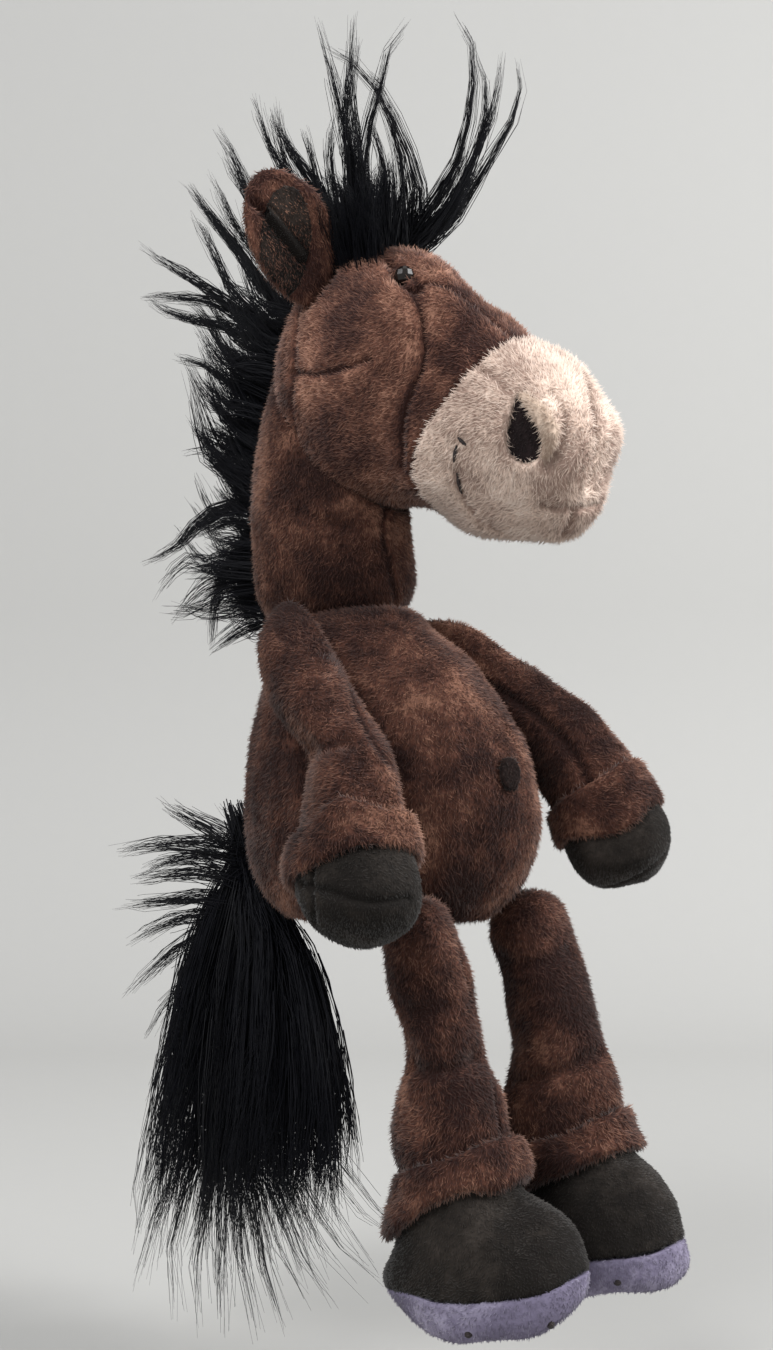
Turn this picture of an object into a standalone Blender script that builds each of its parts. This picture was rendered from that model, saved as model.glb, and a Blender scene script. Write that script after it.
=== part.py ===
"""A long-legged plush horse that sits with its legs hanging, in metres, +Z up, facing -Y.

The origin is the middle of the flat seat under the body. Every stuffed form is a loft of rings with one
level of subdivision. A form that meets a larger one is cut by a copy of it grown by the sewing gap.
"""

import math

import bmesh
import bpy
from mathutils import Matrix, Vector
from mathutils.bvhtree import BVHTree

# Gaps
SEAM_GAP = 0.0004
SWING_GAP = 0.0005
OVERRUN = 0.020

# Body: a pear with a flat seat, whose neck rises from the back of its top
TORSO_HEIGHT = 0.134
TORSO_HALF_WIDTH = 0.056
TORSO_HALF_DEPTH = 0.068
TORSO_ring_shares = (
    (0.000, 0.68, 0.66, 0.06),
    (0.055, 0.84, 0.83, 0.06),
    (0.180, 0.955, 0.955, 0.04),
    (0.370, 1.005, 1.005, 0.01),
    (0.560, 0.955, 0.945, 0.02),
    (0.710, 0.85, 0.82, 0.07),
    (0.840, 0.70, 0.67, 0.19),
    (0.940, 0.50, 0.49, 0.37),
)
TORSO_TOP_share = 0.47

# Neck: an upright tube, the head turns on its flat top
NECK_RADIUS = 0.0335
NECK_BEHIND = 0.038
NECK_TOP = 0.170
NECK_ring_shares = ((-0.10, 0.70), (0.22, 0.97), (0.55, 0.99), (1.00, 1.02))

# Nape: the back of the head's tube, above the turning seam
NAPE_HEIGHT = 0.090
NAPE_ring_shares = ((0.00, 1.02), (0.30, 0.97), (0.52, 0.87), (0.72, 0.72), (0.90, 0.50))

# Head, in its own frame: x to its left, -y forward, z up, from the middle of the cheeks
HEAD_CENTRE_HEIGHT = 0.229
HEAD_CENTRE_BEHIND = 0.005
HEAD_TURN = math.radians(12)
HEAD_LEAN = math.radians(-12)
HEAD_LENGTH = 0.095
HEAD_HALF_HEIGHT = 0.057
HEAD_HALF_WIDTH = 0.041
MUZZLE_SLANT = math.radians(34.4)
# Each ring: forward share of the length, height share, half height share, half width share, slant share
HEAD_ring_shares = (
    (-0.455, 0.02, 0.48, 0.56, 0.00),
    (-0.285, 0.00, 0.82, 0.84, 0.00),
    (-0.055, -0.02, 0.985, 0.985, 0.12),
    (0.148, -0.07, 1.00, 1.00, 0.35),
    (0.318, -0.23, 0.895, 0.985, 0.67),
    (0.490, -0.447, 0.733, 0.915, 1.00),
)
HEAD_BACK_shares = (-0.525, 0.03)

# Muzzle: a soft box that carries on from the head's slanted seam
MUZZLE_LENGTH = 0.057
MUZZLE_HALF_HEIGHT = 0.043
MUZZLE_HALF_WIDTH = 0.040
MUZZLE_ring_shares = (
    (0.00, 0.00, 0.985, 0.965, 1.00),
    (0.20, -0.13, 0.98, 1.01, 0.80),
    (0.44, -0.27, 0.92, 1.00, 0.52),
    (0.70, -0.37, 0.80, 0.88, 0.20),
    (0.90, -0.40, 0.50, 0.57, 0.00),
)
MUZZLE_FRONT_shares = (0.99, -0.41)

# Eyes: glossy beads in sockets
EYE_RADIUS = 0.0036
EYE_FORWARD = 0.024
EYE_UP = 0.0375
EYE_PROUD_share = 0.55

# Nostrils: a dark teardrop in a pocket, with a raised pale flap along its front edge
NOSTRIL_LENGTH = 0.026
NOSTRIL_WIDTH = 0.015
NOSTRIL_DEPTH = 0.005
NOSTRIL_FORWARD = 0.078
NOSTRIL_DOWN = 0.030
NOSTRIL_outline_shares = (
    (0.00, 0.50),
    (0.34, 0.16),
    (0.50, -0.22),
    (0.30, -0.50),
    (-0.15, -0.50),
    (-0.42, -0.28),
    (-0.30, 0.10),
)
FLAP_RADIUS = 0.0034
FLAP_outline_shares = ((0.05, 0.62), (0.62, 0.30), (0.86, -0.14), (0.62, -0.60))
FLAP_taper_shares = (0.35, 0.95, 1.0, 0.4)

# Mouth stitches: dark thread at the corners of the smile
THREAD_RADIUS = 0.0006
SMILE_FORWARD = 0.052
SMILE_DOWN = 0.043
SMILE_LENGTH = 0.022
SMILE_shares = ((0.22, 0.42), (0.0, 0.5), (-0.04, 0.2), (-0.05, -0.1), (0.04, -0.5))

# Ears: cupped leaves that flop on the head's crown
EAR_LENGTH = 0.056
EAR_HALF_WIDTH = 0.0185
EAR_HALF_THICKNESS = 0.0038
EAR_CUP = 0.0055
EAR_ROOT_DEPTH = 0.0088
EAR_GROOVE_share = 1.5
EAR_groove_radius_shares = (0.58, 0.96)
EAR_THIN_share = 0.75
EAR_ring_shares = ((0.02, 0.46), (0.14, 0.72), (0.36, 1.00), (0.60, 1.02), (0.80, 0.80), (0.93, 0.42))
EAR_ASIDE = 0.025
EAR_BACK = 0.020
EAR_UP = 0.0425
EAR_SPREAD = math.radians(16)
EAR_TIP_BACK = math.radians(8)
EAR_FACING = math.radians(38)
EAR_LINING_share = 0.74
EAR_LINING_THICKNESS = 0.0016

# Arms: each lies against a flat on the side of the body and swings in that plane
SHOULDER_TILT = math.radians(15)
SHOULDER_TURN = math.radians(13)
SHOULDER_HEIGHT = 0.106
SHOULDER_BEHIND = 0.010
SHOULDER_FLAT_DEPTH = 0.0022
ARM_LENGTH = 0.097
ARM_AHEAD = 0.014
ARM_BEND_share = 0.75
ARM_STRAIGHT_share = 0.86
ARM_SHOULDER_HALF_WIDTH = 0.0165
ARM_SHOULDER_HALF_THICKNESS = 0.0120
ARM_WRIST_HALF_WIDTH = 0.0225
ARM_WRIST_HALF_THICKNESS = 0.0205
ARM_POINT = 0.027
ARM_swell_shares = (
    (-0.19, 0.42),
    (-0.06, 0.80),
    (0.10, 1.00),
    (0.36, 0.97),
    (0.62, 0.92),
    (0.84, 0.96),
    (1.00, 0.99),
)
ARM_RIGHT_SWING = math.radians(22)
ARM_LEFT_SWING = math.radians(30)
ARM_CUFF_WALL = 0.0040
ARM_CUFF_HEIGHT = 0.022
# A rolled cuff's section: share of the wall outwards and of the height upwards
CUFF_profile_shares = (
    (0.00, -0.42),
    (0.45, -0.50),
    (0.88, -0.36),
    (1.00, 0.00),
    (0.88, 0.36),
    (0.45, 0.50),
    (0.00, 0.42),
)
HAND_LENGTH = 0.039
HAND_ring_shares = ((0.00, 0.90), (0.30, 1.03), (0.62, 1.06), (0.86, 0.90))

# Legs: a round hip end in a hollow under the belly, a creased knee, a cuff and a heavy hoof
HIP_ASIDE = 0.033
HIP_FORWARD = 0.045
HIP_DOWN = 0.009
HIP_RADIUS = 0.0190
HIP_DOME = (math.radians(58), math.radians(26))
LEG_LENGTH = 0.087
LEG_ANKLE_RADIUS = 0.0232
LEG_TILT = math.radians(11)
LEG_ring_shares = ((0.0, 1.00), (0.20, 0.98), (0.38, 1.00), (0.52, 0.90), (0.68, 0.98), (1.0, 1.00))
LEG_CUFF_WALL = 0.0055
LEG_CUFF_HEIGHT = 0.022
LEG_CUFF_SLANT = math.tan(math.radians(13))
FOOT_HEIGHT = 0.0205
FOOT_HALF_WIDTH = 0.0305
FOOT_HALF_LENGTH = 0.0425
FOOT_AHEAD = 0.007
FOOT_NECK_share = 0.96
FOOT_START_share = 0.66
FOOT_ring_shares = ((0.0, 0.0), (0.28, 0.52), (0.58, 0.88), (1.0, 1.0))
SOLE_HEIGHT = 0.015
SOLE_ring_shares = ((0.0, 1.0), (0.5, 1.0), (0.86, 0.93))
SOLE_BOTTOM_share = 0.80
NAIL_HEIGHT_share = 0.62
NAIL_RADIUS = 0.0024
NAIL_LENGTH = 0.0022
NAIL_angle_shares = (-0.13, 0.15)

# Navel and side label
NAVEL_HEIGHT = 0.060
NAVEL_ASIDE = 0.006
NAVEL_HALF_WIDTH = 0.0058
NAVEL_HALF_HEIGHT = 0.0075
NAVEL_THICKNESS = 0.0026
LABEL_WIDTH = 0.006
LABEL_LENGTH = 0.010
LABEL_THICKNESS = 0.0008
LABEL_HEIGHT = 0.038
LABEL_TURN = math.radians(-38)

# Hair: a root pad and pointed locks, in one solid for each tuft
LOCK_TAPER_share = 0.7
TAIL_ROOT_RADIUS = 0.0095
TAIL_HEIGHT = 0.024
TAIL_LENGTH = 0.215
TAIL_HALF_WIDTH = 0.046
TAIL_HALF_DEPTH = 0.043
TAIL_DOME = (math.radians(45), 0)
TAIL_path_shares = (
    (0.08, -0.03, 0.50),
    (0.13, -0.14, 0.78),
    (0.13, -0.32, 0.98),
    (0.10, -0.53, 1.00),
    (0.08, -0.73, 0.84),
    (0.06, -0.89, 0.50),
)
TAIL_LOCKS = 14
TAIL_LOCK_LENGTH = 0.072
TAIL_LOCK_RADIUS = 0.0085
TAIL_ROOT_BEHIND_share = 0.55
TAIL_LOCK_TURN = math.radians(137.5)
TAIL_lock_span_shares = (0.12, 0.80)
TAIL_LOCK_INSET_share = 0.7
TAIL_LOCK_FLARE_share = 0.55
TAIL_LOCK_DROOP_share = 0.12
TAIL_BACKWARD_share = 0.25

MANE_LOCKS_UPPER = 13
MANE_LOCKS_LOWER = 8
MANE_BOTTOM = 0.122
MANE_TOP_share = 1.22
MANE_LOCK_LENGTH = 0.105
MANE_LOCK_RADIUS = 0.0070
MANE_HALF_WIDTH = 0.0085
MANE_DEPTH = 0.010
MANE_pad_shares = ((0.0, 0.75), (0.2, 1.0), (0.5, 1.0), (0.8, 1.0), (1.0, 0.75))
MANE_BACK_shares = (1.02, 0.55, 0.45)
MANE_LOWER_RISE = (math.radians(-29), 0)
MANE_UPPER_RISE = (math.radians(3), math.radians(54))
MANE_LOWER_SHORTEST_share = 0.6
MANE_RISE_SPREAD = math.radians(9)
MANE_ASIDE_share = 0.30
MANE_ROOT_ASIDE_share = 0.4
MANE_DROOP_share = 0.10
FORELOCK_LOCKS = 11
FORELOCK_LENGTH = 0.094
FORELOCK_RADIUS = 0.0070
FORELOCK_PAD_RADIUS = 0.019
FORELOCK_PAD_HEIGHT = 0.012
FORELOCK_pad_shares = ((-1.0, 1.0), (0.3, 0.95), (1.0, 0.55))
FORELOCK_PAD_WIDTH_share = 0.75
FORELOCK_LEAN = math.radians(-32)
FORELOCK_FAN = math.radians(83)
FORELOCK_ASIDE_share = 0.22
FORELOCK_root_shares = (0.3, 1.3)
FORELOCK_SHORTER_share = 0.2
FORELOCK_LIFT_share = 0.30
LOCK_LENGTH_share = 0.20

# How fast each quality of the locks repeats, in turns a lock
RISE_RATE_share = 0.37
ASIDE_RATE_share = 0.23
LENGTH_RATE_share = 0.61
ROOT_RATE_share = 0.5

# Faceting
FORM_SIDES = 12
CUFF_SIDES = 24
LOCK_SIDES = 6
FLAP_SIDES = 8
LOCK_RINGS = 6
PAD_SIDES = 10
OUTLINE_STEPS = 4
STITCH_STEPS = 3
BALL_SEGMENTS = 20
BEAD_SEGMENTS = 12

# The smoothing draws a ring of points in by this much, so rings are drawn wider by it
RING_SWELL = 1 / (2 / 3 + math.cos(math.tau / FORM_SIDES) / 3)
DOME_SWELL_share = 1.05

# A faceted ball lies outside the round one that it stands for
BALL_SWELL = 1 / math.cos(math.pi / BALL_SEGMENTS) ** 2


def empty_scene():
    for leftover in list(bpy.data.objects):
        bpy.data.objects.remove(leftover)


def new_collection(name):
    collection = bpy.data.collections.new(name)
    bpy.context.scene.collection.children.link(collection)
    return collection


def plush(name, colour, roughness=0.95):
    material = bpy.data.materials.new(name)
    material.use_nodes = True
    shader = material.node_tree.nodes["Principled BSDF"]
    shader.inputs["Base Color"].default_value = (*colour, 1)
    shader.inputs["Roughness"].default_value = roughness
    shader.inputs["Metallic"].default_value = 0
    return material


empty_scene()
HORSE = new_collection("plush_horse")
CUTTERS = new_collection("cutters")
BROWN = plush("brown_plush", (0.107, 0.048, 0.032))
TAUPE = plush("taupe_plush", (0.434, 0.319, 0.262))
CREAM = plush("cream_plush", (0.610, 0.485, 0.376))
CHARCOAL = plush("charcoal_plush", (0.030, 0.024, 0.020))
LAVENDER = plush("lavender_plush", (0.205, 0.181, 0.305))
BLACK_HAIR = plush("black_hair", (0.006, 0.006, 0.010), 0.5)
DARK_THREAD = plush("dark_thread", (0.018, 0.010, 0.011), 0.8)
EYE_BLACK = plush("eye_black", (0.004, 0.004, 0.004), 0.06)
LABEL_RED = plush("label_red", (0.420, 0.020, 0.025), 0.7)


def marker(name, place):
    """An empty that carries pieces, or stands on a joint's axis."""
    empty = bpy.data.objects.new(name, None)
    empty.matrix_world = place
    HORSE.objects.link(empty)
    return empty


def piece(name, mesh, material, parent=None, collection=HORSE):
    obj = bpy.data.objects.new(name, mesh)
    collection.objects.link(obj)
    if material:
        mesh.materials.append(material)
    mesh.shade_smooth()
    if parent:
        obj.parent = parent
    return obj


def world_of(parent):
    bpy.context.view_layer.update()
    return parent.matrix_world.copy()


def as_cutter(obj):
    obj.hide_render = True
    obj.display_type = "WIRE"
    return obj


def ring(centre, across, along, sides=FORM_SIDES):
    """Points round an ellipse with the two half-axes given as vectors."""
    turns = [math.tau * number / sides for number in range(sides)]
    return [centre + across * math.cos(turn) + along * math.sin(turn) for turn in turns]


def swollen_ring(centre, across, along):
    return ring(centre, across * RING_SWELL, along * RING_SWELL)


def loft_mesh(name, rings, start=None, end=None):
    """A closed skin over rings. An end is a pole where a point is given, and a flat sharp cap where not."""
    mesh = bpy.data.meshes.new(name)
    skin = bmesh.new()
    crease = skin.edges.layers.float.new("crease_edge")
    loops = [[skin.verts.new(point) for point in points] for points in rings]
    sides = len(loops[0])
    for lower, upper in zip(loops, loops[1:]):
        for number in range(sides):
            following = (number + 1) % sides
            skin.faces.new((lower[number], lower[following], upper[following], upper[number]))
    for loop, pole in ((loops[0], start), (loops[-1], end)):
        if pole is None:
            cap = skin.faces.new(loop)
            for edge in cap.edges:
                edge[crease] = 1
            continue
        tip = skin.verts.new(pole)
        for number in range(sides):
            skin.faces.new((loop[number], loop[(number + 1) % sides], tip))
    bmesh.ops.recalc_face_normals(skin, faces=skin.faces)
    skin.to_mesh(mesh)
    skin.free()
    return mesh


def stuffed(name, rings, material, parent=None, start=None, end=None):
    """A stuffed form: a loft with one level of subdivision."""
    obj = piece(name, loft_mesh(name, rings, start, end), material, parent)
    smoothing = obj.modifiers.new("stuffing", "SUBSURF")
    smoothing.levels = 1
    smoothing.render_levels = 1
    return obj


def finished_mesh(obj):
    """The mesh that the object's modifiers give, moved into the world."""
    bpy.context.view_layer.update()
    graph = bpy.context.evaluated_depsgraph_get()
    mesh = bpy.data.meshes.new_from_object(obj.evaluated_get(graph))
    mesh.transform(obj.matrix_world)
    return mesh


def grown_copy(obj, gap):
    """A cutter: the object's finished surface moved out by the gap."""
    mesh = finished_mesh(obj)
    skin = bmesh.new()
    skin.from_mesh(mesh)
    skin.normal_update()
    moves = [(vertex, vertex.normal.copy()) for vertex in skin.verts]
    for vertex, normal in moves:
        sharpest = min(normal.dot(face.normal) for face in vertex.link_faces)
        vertex.co += normal * gap / max(sharpest, 0.5)
    skin.to_mesh(mesh)
    skin.free()
    return as_cutter(piece(f"{obj.name}_grown", mesh, None, None, CUTTERS))


def combine(obj, cutter, operation="DIFFERENCE"):
    boolean = obj.modifiers.new(cutter.name, "BOOLEAN")
    boolean.operation = operation
    boolean.solver = "EXACT"
    boolean.object = cutter


def seat_on(obj, *neighbours, gap=SEAM_GAP):
    """Cut a piece by the larger ones that it is sewn to."""
    for neighbour in neighbours:
        combine(obj, grown_copy(neighbour, gap))


def ball_cutter(name, centre, radius):
    mesh = bpy.data.meshes.new(name)
    skin = bmesh.new()
    bmesh.ops.create_uvsphere(
        skin, u_segments=BALL_SEGMENTS, v_segments=BALL_SEGMENTS // 2, radius=radius * BALL_SWELL
    )
    bmesh.ops.translate(skin, verts=skin.verts, vec=centre)
    skin.to_mesh(mesh)
    skin.free()
    return as_cutter(piece(name, mesh, None, None, CUTTERS))


def rod_mesh(name, radius, length, sides=BALL_SEGMENTS):
    """A rod along Z, from its middle."""
    mesh = bpy.data.meshes.new(name)
    skin = bmesh.new()
    bmesh.ops.create_cone(skin, cap_ends=True, segments=sides, radius1=radius, radius2=radius, depth=length)
    skin.to_mesh(mesh)
    skin.free()
    return mesh


def cone_mesh(name, radii, length):
    """A rod along X that widens from the first radius to the second."""
    mesh = bpy.data.meshes.new(name)
    skin = bmesh.new()
    bmesh.ops.create_cone(
        skin, cap_ends=True, segments=BALL_SEGMENTS, radius1=radii[0], radius2=radii[1], depth=length
    )
    bmesh.ops.transform(skin, verts=skin.verts, matrix=Matrix.Rotation(math.pi / 2, 4, "Y"))
    skin.to_mesh(mesh)
    skin.free()
    return mesh


def box_mesh(name, size):
    mesh = bpy.data.meshes.new(name)
    skin = bmesh.new()
    bmesh.ops.create_cube(skin, size=1)
    bmesh.ops.scale(skin, verts=skin.verts, vec=size)
    skin.to_mesh(mesh)
    skin.free()
    return mesh


def keep_above(obj, height, upward=1):
    """Trim a tuft flat at a height, clear of the turning seam. Upward is -1 to keep what is below."""
    size = 2 * (NECK_TOP + TAIL_LENGTH)
    mesh = box_mesh(f"{obj.name}_trim", (size, size, size))
    mesh.transform(Matrix.Translation((0, 0, height - upward * size / 2)))
    combine(obj, as_cutter(piece(f"{obj.name}_trim", mesh, None, None, CUTTERS)))


def surface_of(obj):
    mesh = finished_mesh(obj)
    skin = bmesh.new()
    skin.from_mesh(mesh)
    tree = BVHTree.FromBMesh(skin)
    skin.free()
    bpy.data.meshes.remove(mesh)
    return tree


# Body


def make_torso():
    rings = [
        swollen_ring(
            Vector((0, ahead * TORSO_HALF_DEPTH, height * TORSO_HEIGHT)),
            Vector((wide * TORSO_HALF_WIDTH, 0, 0)),
            Vector((0, deep * TORSO_HALF_DEPTH, 0)),
        )
        for height, wide, deep, ahead in TORSO_ring_shares
    ]
    top = Vector((0, TORSO_TOP_share * TORSO_HALF_DEPTH, TORSO_HEIGHT))
    return stuffed("torso", rings, BROWN, end=top)


def column_rings(shares, bottom, height):
    return [
        swollen_ring(
            Vector((0, NECK_BEHIND, bottom + level * height)),
            Vector((wide * NECK_RADIUS, 0, 0)),
            Vector((0, wide * NECK_RADIUS, 0)),
        )
        for level, wide in shares
    ]


def make_neck(torso):
    base = TORSO_HEIGHT * TORSO_ring_shares[-1][0]
    neck = stuffed("neck", column_rings(NECK_ring_shares, base, NECK_TOP - base), BROWN)
    seat_on(neck, torso)
    return neck


def make_nape(head):
    rings = column_rings(NAPE_ring_shares, NECK_TOP + SEAM_GAP, NAPE_HEIGHT)
    top = Vector((0, NECK_BEHIND, NECK_TOP + NAPE_HEIGHT))
    nape = stuffed("nape", rings, BROWN, end=top)
    seat_on(nape, head)
    return nape


def make_navel(torso):
    surface = surface_of(torso)
    spot, normal, _, _ = surface.ray_cast(
        Vector((-NAVEL_ASIDE, -TORSO_HALF_DEPTH - OVERRUN, NAVEL_HEIGHT)), Vector((0, 1, 0))
    )
    mesh = rod_mesh("navel_stitch", 1, NAVEL_THICKNESS + OVERRUN / 2)
    mesh.transform(Matrix.Diagonal((NAVEL_HALF_WIDTH, NAVEL_HALF_HEIGHT, 1, 1)))
    turn = normal.to_track_quat("Z", "Y").to_matrix().to_4x4()
    mesh.transform(Matrix.Translation(spot - normal * (OVERRUN / 4 - NAVEL_THICKNESS / 2)) @ turn)
    navel = piece("navel_stitch", mesh, DARK_THREAD)
    seat_on(navel, torso)
    return navel


def make_label(torso):
    surface = surface_of(torso)
    outward = Matrix.Rotation(LABEL_TURN, 3, "Z") @ Vector((1, 0, 0))
    start = outward * (TORSO_HALF_DEPTH + OVERRUN) + Vector((0, 0, LABEL_HEIGHT))
    spot, _, _, _ = surface.ray_cast(start, -outward)
    mesh = box_mesh("side_label", (2 * LABEL_WIDTH, LABEL_THICKNESS, LABEL_LENGTH))
    mesh.transform(Matrix.Translation(spot) @ Matrix.Rotation(LABEL_TURN, 4, "Z"))
    label = piece("side_label", mesh, LABEL_RED)
    seat_on(label, torso)
    return label


# Head


def face_ring(forward, up, half_height, half_width, slant):
    """A ring round the head, whose plane leans forward at the top by the slant."""
    tall = Vector((0, -math.sin(slant), math.cos(slant))) * half_height
    return swollen_ring(Vector((0, -forward, up)), Vector((half_width, 0, 0)), tall)


def make_head(frame):
    rings = [
        face_ring(
            forward * HEAD_LENGTH,
            up * HEAD_HALF_HEIGHT,
            tall * HEAD_HALF_HEIGHT,
            wide * HEAD_HALF_WIDTH,
            slant * MUZZLE_SLANT,
        )
        for forward, up, tall, wide, slant in HEAD_ring_shares
    ]
    back, up = HEAD_BACK_shares
    pole = Vector((0, -back * HEAD_LENGTH, up * HEAD_HALF_HEIGHT))
    return stuffed("head", rings, BROWN, frame, start=pole)


def muzzle_root():
    """The middle of the seam plane between the head and the muzzle, and the plane's forward normal."""
    forward, up = HEAD_ring_shares[-1][:2]
    normal = Vector((0, -math.cos(MUZZLE_SLANT), -math.sin(MUZZLE_SLANT)))
    return Vector((0, -forward * HEAD_LENGTH, up * HEAD_HALF_HEIGHT)), normal


def make_muzzle(frame):
    seam, normal = muzzle_root()
    start = seam + normal * SEAM_GAP
    rings = [
        face_ring(
            -start.y + forward * MUZZLE_LENGTH,
            start.z + up * MUZZLE_HALF_HEIGHT,
            tall * MUZZLE_HALF_HEIGHT,
            wide * MUZZLE_HALF_WIDTH,
            slant * MUZZLE_SLANT,
        )
        for forward, up, tall, wide, slant in MUZZLE_ring_shares
    ]
    forward, up = MUZZLE_FRONT_shares
    pole = start + Vector((0, -forward * MUZZLE_LENGTH, up * MUZZLE_HALF_HEIGHT))
    return stuffed("muzzle", rings, TAUPE, frame, end=pole)


def make_eyes(frame, head):
    surface = surface_of(head)
    place = world_of(frame)
    for name, side in (("eye_right", -1), ("eye_left", 1)):
        start = place @ Vector((side * (HEAD_HALF_WIDTH + OVERRUN), -EYE_FORWARD, EYE_UP))
        inward = place.to_3x3() @ Vector((-side, 0, 0))
        spot, normal, _, _ = surface.ray_cast(start, inward)
        centre = spot + normal * EYE_RADIUS * (2 * EYE_PROUD_share - 1)
        mesh = bpy.data.meshes.new(name)
        bead = bmesh.new()
        bmesh.ops.create_uvsphere(
            bead, u_segments=BEAD_SEGMENTS, v_segments=BEAD_SEGMENTS // 2, radius=EYE_RADIUS
        )
        bmesh.ops.translate(bead, verts=bead.verts, vec=centre)
        bead.to_mesh(mesh)
        bead.free()
        piece(name, mesh, EYE_BLACK)
        combine(head, ball_cutter(f"{name}_socket", centre, EYE_RADIUS + SEAM_GAP))


def cheek_frame(frame, surface, side, forward, up):
    """A frame on the side of the muzzle: x forward, y up, z out of the surface."""
    place = world_of(frame)
    outside = HEAD_HALF_WIDTH + OVERRUN
    start = place @ Vector((side * outside, -forward, up))
    spot, normal, _, _ = surface.ray_cast(start, place.to_3x3() @ Vector((-side, 0, 0)))
    ahead = place.to_3x3() @ Vector((0, -1, 0))
    ahead = (ahead - normal * ahead.dot(normal)).normalized()
    up_there = place.to_3x3() @ Vector((0, 0, 1))
    up_there = (up_there - normal * up_there.dot(normal) - ahead * up_there.dot(ahead)).normalized()
    axes = Matrix((ahead, up_there, normal)).transposed().to_4x4()
    return Matrix.Translation(spot) @ axes


def outline_prism(name, points, place, low, high):
    """A flat outline drawn through a depth, in a frame that may be left-handed."""
    rings = [[place @ Vector((x, y, level)) for x, y in points] for level in (low, high)]
    return loft_mesh(name, rings)


def curve_steps(corners, steps):
    """Points of a smooth curve from the second of four points up to the third."""
    before, here, after, beyond = (Vector(corner) for corner in corners)
    curve = []
    for step in range(steps):
        share = step / steps
        straight = 2 * here + (after - before) * share
        bend = (2 * before - 5 * here + 4 * after - beyond) * share**2
        turn = (3 * here - before - 3 * after + beyond) * share**3
        curve.append((straight + bend + turn) / 2)
    return curve


def rounded(points):
    """A closed smooth outline through the corners of a coarse one."""
    smooth = []
    for number in range(len(points)):
        corners = [points[(number + shift) % len(points)] for shift in (-1, 0, 1, 2)]
        smooth += curve_steps(corners, OUTLINE_STEPS)
    return smooth


def spread_points(points, steps):
    """Points along a smooth curve through a few chosen ones."""
    path = []
    last = len(points) - 1
    for number in range(last):
        corners = [points[min(max(number + shift, 0), last)] for shift in (-1, 0, 1, 2)]
        path += curve_steps(corners, steps)
    path.append(points[last])
    return path


def tube_rings(points, radii, sides=LOCK_SIDES):
    """Rings square to a path, with a radius at each point, none turned against the one before."""
    rings = []
    across = (points[1] - points[0]).orthogonal()
    for number, point in enumerate(points):
        before = points[max(number - 1, 0)]
        after = points[min(number + 1, len(points) - 1)]
        along = (after - before).normalized()
        across = (across - along * across.dot(along)).normalized()
        rings.append(ring(point, across * radii[number], along.cross(across) * radii[number], sides))
    return rings


def make_nostrils(frame, muzzle):
    """The flaps are cut by the plain muzzle, grown before its pockets are made."""
    surface = surface_of(muzzle)
    plain = grown_copy(muzzle, SEAM_GAP)
    outline = rounded([(x * NOSTRIL_WIDTH, y * NOSTRIL_LENGTH) for x, y in NOSTRIL_outline_shares])
    wider = rounded(
        [
            (x * (NOSTRIL_WIDTH + 2 * SEAM_GAP), y * (NOSTRIL_LENGTH + 2 * SEAM_GAP))
            for x, y in NOSTRIL_outline_shares
        ]
    )
    for name, side in (("right", -1), ("left", 1)):
        place = cheek_frame(frame, surface, side, NOSTRIL_FORWARD, -NOSTRIL_DOWN)
        mesh = outline_prism(f"nostril_{name}", outline, place, -NOSTRIL_DEPTH, -NOSTRIL_DEPTH / 2)
        piece(f"nostril_{name}", mesh, CHARCOAL)
        pocket = outline_prism(f"nostril_{name}_pocket", wider, place, -NOSTRIL_DEPTH - SEAM_GAP, OVERRUN)
        combine(muzzle, as_cutter(piece(f"nostril_{name}_pocket", pocket, None, None, CUTTERS)))
        route = []
        for x, y in FLAP_outline_shares:
            above = place @ Vector((x * NOSTRIL_WIDTH, y * NOSTRIL_LENGTH, OVERRUN / 2))
            spot, normal, _, _ = surface.find_nearest(above)
            route.append(spot + normal * FLAP_RADIUS / 4)
        path = spread_points(route, OUTLINE_STEPS)
        tapers = spread_points([Vector((share, 0)) for share in FLAP_taper_shares], OUTLINE_STEPS)
        radii = [taper.x * FLAP_RADIUS for taper in tapers]
        rings = tube_rings(path, radii, FLAP_SIDES)
        mesh = loft_mesh(f"nostril_flap_{name}", rings)
        combine(piece(f"nostril_flap_{name}", mesh, CREAM), plain)


def make_mouth_stitches(frame, surface):
    for name, side in (("right", -1), ("left", 1)):
        place = cheek_frame(frame, surface, side, SMILE_FORWARD, -SMILE_DOWN)
        route = []
        for x, y in SMILE_shares:
            above = place @ Vector((x * SMILE_LENGTH, y * SMILE_LENGTH, OVERRUN / 2))
            spot, normal, _, _ = surface.find_nearest(above)
            route.append(spot + normal * (THREAD_RADIUS + SEAM_GAP))
        path = spread_points(route, STITCH_STEPS)
        rings = tube_rings(path, [THREAD_RADIUS] * len(path))
        piece(f"mouth_stitch_{name}", loft_mesh(f"mouth_stitch_{name}", rings), DARK_THREAD)


def leaf_ring(level, half_width, half_thickness, cup, shift=0):
    """A cupped section of an ear, whose edges come forward of its middle."""
    points = []
    for number in range(FORM_SIDES):
        turn = math.tau * number / FORM_SIDES
        across = half_width * math.cos(turn) * RING_SWELL
        deep = half_thickness * math.sin(turn) * RING_SWELL - cup * math.cos(turn) ** 2 + shift
        points.append(Vector((across, deep, level)))
    return points


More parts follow.
